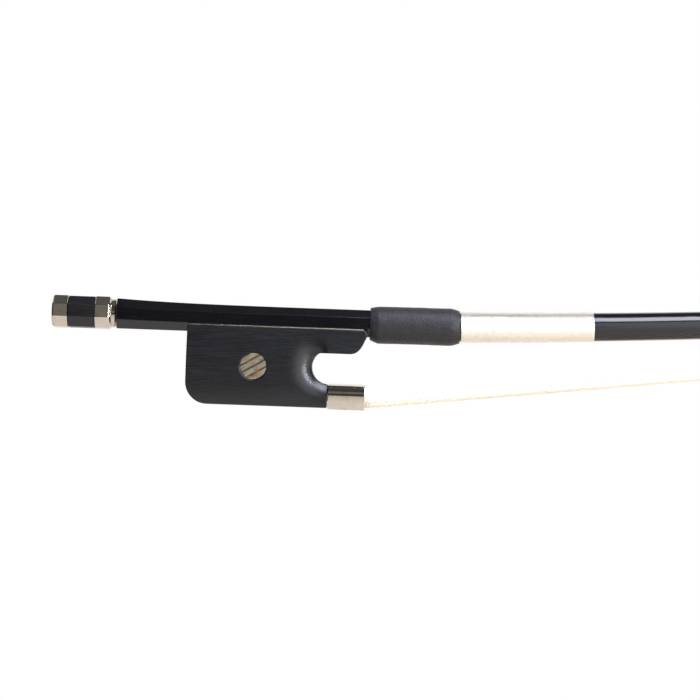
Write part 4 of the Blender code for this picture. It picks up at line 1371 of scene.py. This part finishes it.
@dataclass
class Frog:
    """The ebony block: its side outline, its hollowed cheeks, and the cuts for stick, hair and eyes."""

    top: float = 27.8 * MM
    half: float = 8.6 * MM
    top_half: float = 7.0 * MM
    hollow: float = 16.0 * MM
    hollow_ease: float = 4.3 * MM
    corner: float = 0.9 * MM
    foot_ease: float = 0.5 * MM
    full_from: float = 9 * MM
    heel: float = 7.8 * MM
    ferrule_rear: float = 50.0 * MM
    ferrule_front: float = FERRULE_FRONT
    throat: Point = (50.46 * MM, 14.4 * MM)
    throat_radius: float = 6.1 * MM
    throat_angles: Point = (265.7, 134.0)
    beak_rear: float = 47.6 * MM
    beak_low: float = 19.27 * MM
    beak_bend: float = 57.6 * MM
    beak_tip: Point = (63.5 * MM, 25.7 * MM)
    beak_top: float = 61.9 * MM
    # Handles of the beak's curves, measured from the points that they lead away from or up to.
    rim_lead: Point = (0.36 * MM, 0.35 * MM)
    rear_follow: float = 0.5 * MM
    bend_lead: float = 3.4 * MM
    tip_follow: Point = (1.4 * MM, 3.2 * MM)
    tip_lead: Point = (0.15 * MM, 1.0 * MM)
    top_follow: float = 0.9 * MM
    # The scoop is deepest at the throat's rim and falls off by a power out to its reach. Round the throat it
    # starts at the first angle of scoop_top and is full past both. The core of the block stays as it is.
    scoop_depth: float = 2.8 * MM
    scoop_from: float = 6.1 * MM
    scoop_reach: float = 17.0 * MM
    scoop_power: float = 3.6
    scoop_top: Point = (95.0, 60.0)
    scoop_core: float = 5.6 * MM
    tongue_floor: float = 4.9 * MM
    ferrule_metal: float = 0.6 * MM
    gap: float = 0.3 * MM
    liner: float = 0.5 * MM
    fine_gap: float = 0.2 * MM
    eye: Point = (23.7 * MM, 13.85 * MM)
    eye_radius: float = 4.65 * MM
    eye_depth: float = 1.6 * MM
    eye_clearance: float = 0.12 * MM
    # The slide's dovetail track: half width at the mouth and at the floor, depth, and both ends.
    track_mouth: float = 5.6 * MM
    track_wide: float = 6.4 * MM
    track_deep: float = 2.4 * MM
    track_ends: Point = (9 * MM, 51 * MM)
    channel_low: Place = (19 * MM, -5.6 * MM, 1.9 * MM)
    channel_high: Place = (51 * MM, 5.6 * MM, 5.4 * MM)
    mortise_low: Place = (17 * MM, -4.6 * MM, 1.6 * MM)
    mortise_high: Place = (29 * MM, 4.6 * MM, 11.5 * MM)
    # A place past the block's front end, where cuts run out of it.
    clear: float = 70 * MM
    # Voxels of the hand-sized rounding in millimetres, and how much and how often it is smoothed.
    voxel: float = 0.16
    softness: float = 0.5
    smoothing: int = 5

    def beak_front(self) -> list[Point]:
        """Draw the rounded front of the beak.

        Returns:
            Its line from the tip up to the top edge.
        """
        lead = (self.beak_tip[0] + self.tip_lead[0], self.beak_tip[1] + self.tip_lead[1])
        follow = (self.beak_top + self.top_follow, self.top)
        return bezier(self.beak_tip, lead, follow, (self.beak_top, self.top), 10)

    def outline(self) -> list[Point]:
        """Draw the side view.

        Returns:
            Its outline, anticlockwise from the heel.
        """
        points = arc((self.heel, self.heel), self.heel, 180, 270, 24)
        points += [(self.ferrule_rear, 0.0)]
        points += arc(self.throat, self.throat_radius, *self.throat_angles, 48)
        u, v = points[-1]
        end = (self.beak_rear, self.beak_low)
        lead = (u + self.rim_lead[0], v + self.rim_lead[1])
        points += bezier((u, v), lead, (end[0] - self.rear_follow, end[1]), end, 8)[1:]
        low = (self.beak_bend, self.beak_low)
        lead = (self.beak_bend + self.bend_lead, self.beak_low)
        follow = (self.beak_tip[0] - self.tip_follow[0], self.beak_tip[1] - self.tip_follow[1])
        points += bezier(low, lead, follow, self.beak_tip, 20)
        points += self.beak_front()[1:]
        return points + [(0.0, self.top)]

    def section(self) -> list[Point]:
        """Draw the end view: cheeks that lean in a little at the foot and are hollowed towards the stick.

        Returns:
            Its outline from the bottom up.
        """
        foot = self.half - self.foot_ease
        half = arc((foot - self.corner, self.corner), self.corner, -90, 0, 8)
        full = (self.half, self.full_from)
        half += bezier((foot, self.corner), (self.half, 4 * MM), (self.half, 7 * MM), full, 16)[1:]
        over = self.top + 1 * MM
        lead = (self.half, self.hollow + self.hollow_ease)
        follow = (self.top_half, over - self.hollow_ease)
        half += bezier((self.half, self.hollow), lead, follow, (self.top_half, over), 24)
        return mirrored(half)

    def scooped(self, point: Vector) -> Vector:
        """Draw a point of a cheek in, most at the throat's rim and not at all above the throat.

        Args:
            point: The point, in the handle's frame.

        Returns:
            Where it ends.
        """
        out = Vector((point.x, point.z)) - Vector(self.throat)
        reach = min(max((out.length - self.scoop_from) / (self.scoop_reach - self.scoop_from), 0.0), 1.0)
        turn = math.degrees(math.atan2(out.y, out.x)) % 360
        depth = self.scoop_depth * (1 - reach) ** self.scoop_power
        depth *= eased((turn - self.scoop_top[0]) / self.scoop_top[1])
        depth *= 1 - eased((point.x - self.ferrule_rear) / (1 * MM))
        depth *= max(abs(point.y) - self.scoop_core, 0.0) / (self.half - self.scoop_core)
        return Vector((point.x, point.y - math.copysign(depth, point.y), point.z))

    def block(self) -> bpy.types.Mesh:
        """Carve the block with clean cuts.

        Returns:
            The mesh, in the handle's frame.
        """
        mesh = extruded([self.outline()], SIDE, -10 * MM, 10 * MM)
        tongue = ferrule_section(self.ferrule_metal + self.gap, self.tongue_floor)
        groove = SHAFT.flats + 2 * (self.liner + 2 * self.fine_gap)
        reach = groove / 2 / math.cos(math.pi / 8)
        octagon = arc((0.0, HANDLE.stick_v), reach, 22.5, 337.5, 7)
        mouth, wide, deep = self.track_mouth, self.track_wide, self.track_deep
        track = [(-mouth, -1 * MM), (mouth, -1 * MM), (mouth, 0.0)]
        track += [(wide, deep), (-wide, deep), (-mouth, 0.0)]
        steps = [
            ("INTERSECT", extruded([self.section()], END, -2 * MM, self.clear)),
            ("UNION", extruded([tongue], END, self.ferrule_rear - 0.05 * MM, self.ferrule_front - 1 * MM)),
            ("DIFFERENCE", extruded([octagon], END, -3 * MM, self.clear)),
            ("DIFFERENCE", extruded([track], END, *self.track_ends)),
            ("DIFFERENCE", box(self.channel_low, self.channel_high)),
            ("DIFFERENCE", box(self.mortise_low, self.mortise_high)),
        ]
        seat = circle(self.eye, self.eye_radius + self.eye_clearance, EYE_SIDES)
        floor, out = self.half - self.eye_depth, self.half + 2 * MM
        for low, high in ((floor, out), (-out, -floor)):
            steps.append(("DIFFERENCE", extruded([seat], SIDE, low, high)))
        return carved(mesh, steps)

    def worn(self, mesh: bpy.types.Mesh) -> bpy.types.Mesh:
        """Scoop the cheeks, and soften every edge by hand-sized rounding.

        Args:
            mesh: The block with clean cuts.

        Returns:
            The block with rounded edges, in the row frame.
        """
        mesh.transform(Matrix.Scale(1 / MM, 4))
        block = bpy.data.objects.new("block", mesh)
        remesh = block.modifiers.new("worn", "REMESH")
        remesh.mode = "VOXEL"
        remesh.voxel_size = self.voxel
        remesh.use_smooth_shade = True
        soften = block.modifiers.new("soften", "SMOOTH")
        soften.factor = self.softness
        soften.iterations = self.smoothing
        made = bake(block)
        made.transform(Matrix.Scale(MM, 4))
        for vertex in made.vertices:
            vertex.co = self.scooped(vertex.co)
        made.transform(HANDLE.matrix())
        made.shade_smooth()
        return made

    def build(self) -> None:
        """Make the block."""
        dressed("frog_ebony", self.worn(self.block()), EBONY, Body.FROG, "frog_body")


def ferrule_section(inset: float, floor: float | None = None, steps: int = 12) -> list[Point]:
    """The ferrule's D in end view: sides that bulge and lean in, rounded shoulders and a low dome.

    Args:
        inset: How far it is drawn in.
        floor: Height at which it is cut off flat, or None.
        steps: Steps along each curve.

    Returns:
        The outline from the bottom up.
    """
    wide = 8.9 * MM - inset
    side = 4.5 * MM
    rise = 8.8 * MM - inset - side
    low = FERRULE_LOW + inset
    lean, shoulder, top = (0.928, 0.68), (0.8, 0.84), (0, 1)
    arch = bezier((1, 0), (1, 0.37), (0.972, 0.52), lean, steps)
    arch += bezier(lean, (0.903, 0.77), (0.86, 0.815), shoulder, steps)[1:]
    arch += bezier(shoulder, (0.6, 0.935), (0.32, 1), top, steps)[1:]
    arch = [(wide * y, side + rise * v) for y, v in arch]
    if floor is not None:
        return mirrored([(wide, floor)] + [point for point in arch if point[1] > floor])
    return mirrored(arc((wide - 0.9 * MM, low + 0.5 * MM), 0.5 * MM, -90, 0, 6) + arch)


@dataclass
class Fittings:
    """Ferrule, eyes and the small metal of the frog."""

    frog: Frog
    metal: float = 0.6 * MM
    bevel: float = 0.16 * MM
    dome: float = 0.1 * MM
    eye_thickness: float = 1.2 * MM
    eye_sunk: float = 0.1 * MM
    # Width and depth of an eye's rounded edge, and the rings of its dome as shares of its radius.
    eye_edge: Point = (0.12 * MM, 0.15 * MM)
    eye_lip: float = 0.02 * MM
    dome_shares: tuple[float, ...] = (0.9, 0.7, 0.5, 0.3, 0.1)
    # The underslide's burnished rim: its radius, its height over the ebony, and the arc it turns through.
    rim_round: float = 0.16 * MM
    rim_rise: float = 0.03 * MM
    rim_turn: Point = (-35, 150)
    rim_steps: int = 14
    # Place and radius of the underslide's holes, for both pins and the eyelet.
    holes: tuple[Point, ...] = ((6 * MM, 0.9 * MM), (56 * MM, 0.9 * MM), (24 * MM, 1.9 * MM))

    def ferrule(self) -> None:
        """Bent sheet with its edges stoned round."""
        rear = self.frog.ferrule_rear + self.frog.gap
        front = self.frog.ferrule_front
        bevel, ease = self.bevel, self.bevel * EDGE_SHARE
        outer = [(rear, bevel), (rear + ease, ease), (rear + bevel, 0.0), (rear + bevel * 1.5, 0.0)]
        outer += [(front - bevel * 1.5, 0.0), (front - bevel, 0.0), (front - ease, ease), (front, bevel)]
        inner = [(front, self.metal - bevel), (front - bevel, self.metal)]
        inner += [(rear + bevel, self.metal), (rear, self.metal - bevel)]
        rings = []
        for u, inset in outer + inner:
            rings.append([HANDLE.at(u, y, v) for y, v in ferrule_section(inset)])
        dressed("ferrule_rounded", loft(rings, closed=True), NICKEL, Body.FROG, "ferrule")

    def eyes(self) -> None:
        """Shell discs, polished with a slight dome."""
        radius = self.frog.eye_radius
        face = self.frog.half - self.eye_sunk
        for name, side in (("eye_left", -1), ("eye_right", 1)):
            levels = [(radius, -self.eye_thickness), (radius, -self.eye_edge[1])]
            levels += [(radius - self.eye_edge[0], -self.eye_lip)]
            levels += [(radius * share, self.dome * (1 - share * share)) for share in self.dome_shares]
            rings = []
            for size, height in levels:
                ring = circle(self.frog.eye, size, EYE_SIDES)
                rings.append([HANDLE.at(u, side * (face + height), v) for u, v in ring])
            dressed(f"{name}_domed", loft(rings), SHELL, Body.FROG, name)

    def underslide(self) -> None:
        """Bent sheet in the groove, with its rim burnished round over the edge of the ebony."""
        near = SHAFT.flats / 2 + self.frog.fine_gap
        far = near + self.frog.liner
        slant = math.tan(math.pi / 8)
        floor, base = HANDLE.stick_v - near, HANDLE.stick_v - far
        rim = self.frog.top + self.rim_rise
        out, back = far * slant + (rim - base), near * slant + (rim - floor)
        bead = self.rim_round
        half = [(far * slant, base), (out, rim)]
        half += arc((back + bead * 0.9, rim + bead), bead, *self.rim_turn, self.rim_steps)
        half += [(near * slant, floor)]
        outline = half + [(-y, v) for y, v in reversed(half)]
        lift = 2 * bead
        corner = [(u - 0.3 * MM, v + lift) for u, v in self.frog.beak_front()]
        over, clear = self.frog.top + 3 * MM, self.frog.clear
        corner += [(self.frog.beak_top, over), (clear, over), (clear, corner[0][1])]
        steps = [("DIFFERENCE", extruded([corner], SIDE, -10 * MM, 10 * MM))]
        for u, radius in self.holes:
            steps.append(("DIFFERENCE", extruded([circle((u, 0.0), radius, 32)], PLAN, 22 * MM, 29 * MM)))
        mesh = carved(extruded([outline], END, 0.3 * MM, self.frog.beak_tip[0] - 0.2 * MM), steps)
        mesh.transform(HANDLE.matrix())
        dressed("underslide_burnished", smooth(mesh, 40), WORN_NICKEL, Body.FROG, "underslide")

    def build(self) -> None:
        """Make the ferrule, the eyes and the underslide, and finish what the frame has."""
        self.ferrule()
        self.eyes()
        self.underslide()
        refinished(NICKEL, "underslide_pin_rear", "underslide_pin_front")
        refinished(SHELL, "slide_pearl")
        refinished(EBONY, "slide_backing")
        refinished(MAPLE, "spread_wedge", "frog_wedge")
        refinished(HAIR, "frog_hair_knot")
        refinished(BRASS, "eyelet_nut")


@dataclass
class Button:
    """The screw's button: two metal rings on an ebony core, and a round collar against the stick."""

    flats: float = 11.2 * MM
    turn: float = -5.5
    front: float = -25.7 * MM
    # Length and radius of the collar, and how its corners are eased.
    collar: Point = (1.6 * MM, 5.1 * MM)
    collar_ease: float = 0.3 * MM
    bevel: float = 0.9 * MM
    bevel_drop: float = 0.5 * MM
    front_ring: float = 5.65 * MM
    core: float = 9.75 * MM
    end_ring: float = 5.6 * MM
    end_rounding: float = 1.1 * MM
    tenon: float = 4.3 * MM
    seat: float = 4.5 * MM
    nipple_seat: Point = (3.5 * MM, 3.9 * MM)
    screw_seat: float = 1.7 * MM
    gap: float = 0.2 * MM
    edge: float = 0.07
    # A flat is held straight by a ring this far from its edge, and edges are broken by this much.
    edge_run: float = 0.12 * MM
    broken: float = 0.1 * MM
    rounding_degrees: tuple[float, ...] = (90, 68, 45, 22, 0)
    bevel_steps: int = 5
    bevel_power: float = 1.6
    bevel_roundness: float = 0.9
    # Depth of the front ring's bore, and length of the core's tenon in it.
    front_bore: float = 1.6 * MM
    front_tenon: float = 1.4 * MM
    # Where the screw's seat ends, from the button's end, and how far the core stands in from the rings.
    screw_end: float = 2.6 * MM
    core_inset: float = 0.15 * MM
    # The core's domed end: distance from the button's end, and radius.
    core_end: tuple[Point, ...] = (
        (0.9 * MM, 4.3 * MM), (0.5 * MM, 3.5 * MM), (0.32 * MM, 1.935 * MM), (0.28 * MM, 0.01 * MM)
    )

    def matrix(self) -> Matrix:
        """Frame of the screw, turned as it is photographed."""
        turn = Matrix.Rotation(math.radians(self.turn), 4, "X")
        return HANDLE.matrix() @ Matrix.Translation((0, 0, HANDLE.axis_v)) @ turn

    def rings(self, stations: Sequence[tuple[float, float, float]]) -> list[list[Vector]]:
        """Rings on the screw's axis.

        Args:
            stations: Place, half width, and roundness from octagon to circle.

        Returns:
            The rings in the row frame.
        """
        made = []
        for u, half, roundness in stations:
            section = rounded_octagon(self.edge, roundness)
            made.append([self.matrix() @ Vector((u, y * half, v * half)) for y, v in section])
        return made

    def build(self) -> None:
        """Make the core and both rings, and finish the screw."""
        half = self.flats / 2
        ring_front = self.front - self.collar[0]
        ring_rear = ring_front - self.front_ring
        core_rear = ring_rear - self.core
        end = core_rear - self.end_ring

        size, run, broken = self.end_rounding, self.edge_run, self.broken
        outer = []
        for degrees in self.rounding_degrees:
            a = math.radians(degrees)
            outer.append((end + size * (1 - math.sin(a)), half - size * (1 - math.cos(a)), 0.0))
        outer += [(end + size + run, half, 0.0), (core_rear - 2 * run, half, 0.0)]
        outer += [(core_rear - run, half, 0.0), (core_rear, half - broken, 0.0)]
        inner = [(core_rear, self.seat, 1.0), (end + broken, self.seat, 1.0), (end, self.seat + broken, 1.0)]
        mesh = loft(self.rings(outer + inner), closed=True)
        dressed("button_end_ring_rounded", mesh, NICKEL, Body.SCREW, "button_end_ring")

        radius, deep = self.nipple_seat
        outer = [(ring_rear, half - broken, 0.0), (ring_rear + run, half, 0.0)]
        outer += [(ring_rear + 2 * run, half, 0.0), (ring_front - self.bevel - run, half, 0.0)]
        outer += [(ring_front - self.bevel, half, 0.0)]
        for k in range(1, self.bevel_steps + 1):
            t = k / self.bevel_steps
            drop = self.bevel_drop * t ** self.bevel_power
            outer.append((ring_front - self.bevel * (1 - t), half - drop, eased(t) * self.bevel_roundness))
        neck, ease = self.collar[1], self.collar_ease
        outer += [(ring_front + ease / 6, neck - ease / 2, 1.0), (ring_front + ease, neck, 1.0)]
        outer += [(self.front - ease, neck, 1.0), (self.front, neck - ease / 1.2, 1.0)]
        floor, step = self.front - deep, ring_rear + self.front_bore
        inner = [(self.front, radius, 1.0), (floor, radius, 1.0), (floor, self.screw_seat, 1.0)]
        inner += [(step, self.screw_seat, 1.0), (step, self.seat, 1.0), (ring_rear, self.seat, 1.0)]
        mesh = loft(self.rings(outer + inner), closed=True)
        dressed("button_front_ring_rounded", mesh, NICKEL, Body.SCREW, "button_front_ring")

        body = half - self.core_inset
        bottom, tip = end + self.screw_end, ring_rear + self.front_tenon
        high, low = ring_rear - self.gap, core_rear + self.gap
        stations = [(bottom, 0.01 * MM, 1.0), (bottom, self.screw_seat, 1.0)]
        stations += [(tip, self.screw_seat, 1.0), (tip, self.tenon, 1.0), (high, self.tenon, 1.0)]
        stations += [(high, body - broken, 0.0), (high - broken, body, 0.0), (low + broken, body, 0.0)]
        stations += [(low, body - broken, 0.0), (low, self.tenon, 1.0)]
        stations += [(end + ahead, radius, 1.0) for ahead, radius in self.core_end]
        dressed("button_core_rounded", loft(self.rings(stations)), EBONY, Body.SCREW, "button_core")
        refinished(STEEL, "screw_rod")


# Hairs that step on by this share of the band's width fill it evenly.
GOLDEN = 0.6180339887


@dataclass
class Hair:
    """The free hair: separate hairs that start as a band in the ferrule and end as one in the head."""

    strands: int = 280
    # Horsehair is about 0.2 mm thick, and each hair's thickness is a share of that.
    radius: float = 0.1 * MM
    sizes: Point = (0.8, 1.15)
    sides: int = 5
    stations: int = 44
    half_frog: float = 7.3 * MM
    half_middle: float = 6.0 * MM
    half_head: float = 4.0 * MM
    start: Point = (62.2 * MM, 1.35 * MM)
    end: Point = (559.0 * MM, 1.0 * MM)
    narrowing: float = 0.02
    # Places along the band and its thickness there, both in millimetres.
    thickness: tuple[Point, ...] = ((-1.2, 2.0), (3.0, 2.3), (7.8, 2.6), (140.0, 1.8), (560.0, 1.5))
    # Stations stand closer together near the frog, where the band is seen.
    closeness: float = 1.25
    # How far a hair wanders across and through the band as shares of it, and how often along each metre.
    drift: float = 0.05
    drift_rate: float = 9
    lift: float = 0.22
    lift_rate: float = 12
    phases: float = 900
    # The band's section is a flat oval, squarer with a higher power.
    fullness: float = 5
    # The hairs follow the frog before the first place and stay with the stick past the second.
    blend_from: float = 4 * MM
    blend_to: float = 420 * MM
    seed: int = 7

    def spread(self, x: float) -> Point:
        """Give the size of the band.

        Args:
            x: Distance along it from the ferrule's mouth.

        Returns:
            Half its width and half its thickness.
        """
        run = self.end[0]
        wide = self.half_frog + (self.half_middle - self.half_frog) * x / run
        wide = min(wide, self.half_head + max(run - x, 0.0) * self.narrowing)
        for (low, thick), (high, after) in zip(self.thickness, self.thickness[1:]):
            if x <= high * MM:
                break
        thick += (after - thick) * (x / MM - low) / (high - low)
        return wide, thick / 2 * MM - self.radius

    def build(self) -> None:
        """Draw each hair with its own place, shade and slight wander."""
        draw = random.Random(self.seed)
        begin = HANDLE.at(self.start[0], 0, self.start[1])
        finish = along_bow(self.end[0], 0, self.end[1])
        points, faces, shades = [], [], []
        section = [math.tau * n / self.sides for n in range(self.sides)]
        for strand in range(self.strands):
            across = -1 + 2 * ((strand * GOLDEN) % 1)
            high = draw.uniform(-1, 1)
            phase = draw.uniform(0, self.phases)
            shade = draw.random()
            size = self.radius * draw.uniform(*self.sizes)
            first = len(points)
            for k in range(self.stations + 1):
                t = (k / self.stations) ** self.closeness
                centre = begin.lerp(finish, t)
                x = centre.x - FERRULE_EDGE.x
                wide, thick = self.spread(x)
                drift = noise.noise(Vector((x * self.drift_rate, phase, 0))) * self.drift
                lift = noise.noise(Vector((x * self.lift_rate, 0, phase))) * self.lift
                y = min(max(across + drift, -1.0), 1.0)
                edge = (1 - abs(y) ** self.fullness) ** 0.5
                z = min(max(high + lift, -1.0), 1.0) * edge
                centre = centre + Vector((0, y * wide, z * thick))
                points += [tuple(centre + Vector((0, math.cos(a), math.sin(a))) * size) for a in section]
                shades += [shade] * self.sides
            for k in range(self.stations):
                low = first + k * self.sides
                for n in range(self.sides):
                    m = (n + 1) % self.sides
                    faces.append((low + n, low + m, low + self.sides + m, low + self.sides + n))
            faces.append(tuple(first + n for n in reversed(range(self.sides))))
            faces.append(tuple(len(points) - self.sides + n for n in range(self.sides)))
        mesh = bpy.data.meshes.new("hair")
        mesh.from_pydata(points, [], faces)
        mesh.shade_smooth()
        mesh.attributes.new(OWN_SHADE, "FLOAT", "POINT").data.foreach_set("value", shades)
        made = dressed("hair_strands", mesh, HAIR, None)
        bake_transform(made)
        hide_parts("hair_ribbon")


@dataclass(frozen=True)
class Panel:
    """A soft panel that faces the bow.

    Its bearing is in degrees round from the camera's side, and its height in degrees above the horizon. A
    radiance of 1 looks white. After that it is moved along the bow by shift.
    """

    name: str
    bearing: float
    height: float
    far: float
    size: Point
    radiance: float
    colour: str
    shift: float = 0.0

    def build(self, aim: Sequence[float]) -> None:
        """Hang the panel.

        Args:
            aim: The point it faces.
        """
        data = bpy.data.lights.new(self.name, "AREA")
        data.color = linear(self.colour)[:3]
        data.shape = "RECTANGLE"
        data.size, data.size_y = self.size
        data.energy = self.radiance * math.pi * self.size[0] * self.size[1]
        b, h = math.radians(self.bearing), math.radians(self.height)
        out = Vector((math.sin(b) * math.cos(h), -math.cos(b) * math.cos(h), math.sin(h)))
        place = Vector(aim) + out * self.far + Vector((self.shift, 0, 0))
        turn = out.to_track_quat("Z", "Y").to_matrix().to_4x4()
        shown(self.name, data).matrix_world = Matrix.Translation(place) @ turn


PANELS = (
    Panel("key", 0.0, 63.0, 1.2, (0.9, 0.8), 11.5, "eceeff", 0.62),
    Panel("ceiling", 0.0, 90.0, 1.6, (2.6, 1.4), 0.06, "ffffff"),
    Panel("front_right", 31.0, 5.0, 1.3, (1.05, 1.1), 1.9, "f4f6ff"),
    Panel("side_right", 47.0, 5.0, 1.2, (0.1, 1.2), 44.0, "f4f6ff"),
    Panel("front_high", -12.0, 13.0, 1.3, (1.9, 0.26), 0.15, "fff6ea"),
)


@dataclass
class Studio:
    """White room: a pale light table below, a key light above to the right, and panels before the bow."""

    aim: Place = (-0.2408, 0.0, 0.0219)
    distance: float = 0.85
    focal_px: float = 2393.9
    photo_px: float = 700
    sensor: float = 36.0
    roll: float = 4.70
    # How bright the table, the backdrop and the room are to everything but the camera, where 1 is white.
    table: float = 0.62
    behind: float = 0.9
    room: float = 0.07
    grey: str = "9a9894"
    floor_z: float = -0.16
    floor_half: float = 2.2
    front_edge: float = -1.9
    # The backdrop stands farther off than any camera, so that none looks at its rear side.
    backdrop_y: float = 3.0
    backdrop_half: float = 5.0
    backdrop_top: float = 5.0
    sheet_thickness: float = 0.002

    def camera(self) -> None:
        """Set the camera as the photograph was taken."""
        data = bpy.data.cameras.new("camera")
        data.sensor_width = self.sensor
        data.lens = self.focal_px / self.photo_px * data.sensor_width
        made = shown("camera", data)
        bpy.context.scene.camera = made
        c, s = math.cos(math.radians(self.roll)), math.sin(math.radians(self.roll))
        turn = Matrix(((c, s, 0), (0, 0, -1), (-s, c, 0))).to_4x4()
        place = Vector(self.aim) + Vector((0, -self.distance, 0))
        made.matrix_world = Matrix.Translation(place) @ turn

    def backdrop(self) -> None:
        """White to the camera, dimmer to everything else."""
        world = bpy.data.worlds.new("room")
        bpy.context.scene.world = world
        world.use_nodes = True
        tree = world.node_tree
        seen = add(tree, "ShaderNodeLightPath", output="Is Camera Ray")
        strength = add(tree, "ShaderNodeMapRange", between(seen, 0.0, 1.0, self.room, 1.0))
        feed(tree, tree.nodes["Background"], {"Strength": strength, "Color": linear("ffffff")})

    def sheet(self, name: str, mesh: bpy.types.Mesh, glow: float, colour: str) -> None:
        """Add a pale sheet that the camera sees as white.

        Args:
            name: Its name.
            mesh: Its mesh.
            glow: How bright it is to everything but the camera, where 1 is white.
            colour: Tint of that glow.
        """
        paint = bpy.data.materials.new(name)
        paint.use_nodes = True
        tree = paint.node_tree
        shader = tree.nodes["Principled BSDF"]
        glowing = {"Emission Color": linear(colour), "Emission Strength": glow}
        feed(tree, shader, {"Base Color": linear(self.grey), **glowing})
        seen = add(tree, "ShaderNodeLightPath", output="Is Camera Ray")
        white = add(tree, "ShaderNodeEmission", {"Strength": 1.0})
        mixed = add(tree, "ShaderNodeMixShader", {0: seen, 1: shader.outputs[0], 2: white})
        feed(tree, tree.nodes["Material Output"], {"Surface": mixed})
        mesh.materials.append(paint)
        made = shown(name, mesh)

    def build(self) -> None:
        """Set the camera, the room and the lights."""
        self.camera()
        self.backdrop()
        low, back, thick = self.floor_z, self.backdrop_y, self.sheet_thickness
        table = box((-self.floor_half, self.front_edge, low - thick), (self.floor_half, back, low))
        self.sheet("floor", table, self.table, "fff4ea")
        wall = box((-self.backdrop_half, back, low), (self.backdrop_half, back + thick, self.backdrop_top))
        self.sheet("backdrop", wall, self.behind, "ffffff")
        for panel in PANELS:
            panel.build(self.aim)
        bpy.context.scene.view_settings.view_transform = "Standard"


def main() -> None:
    """Build the bow piece by piece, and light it."""
    logging.basicConfig(level=logging.INFO, format="%(message)s")
    stick = Stick()
    frog = Frog()
    for maker in (stick, Head(stick), Grip(), Winding(), frog, Fittings(frog), Button(), Hair(), Studio()):
        LOG.info("making the %s", type(maker).__name__.lower())
        maker.build()


if __name__ == "__main__":
    main()
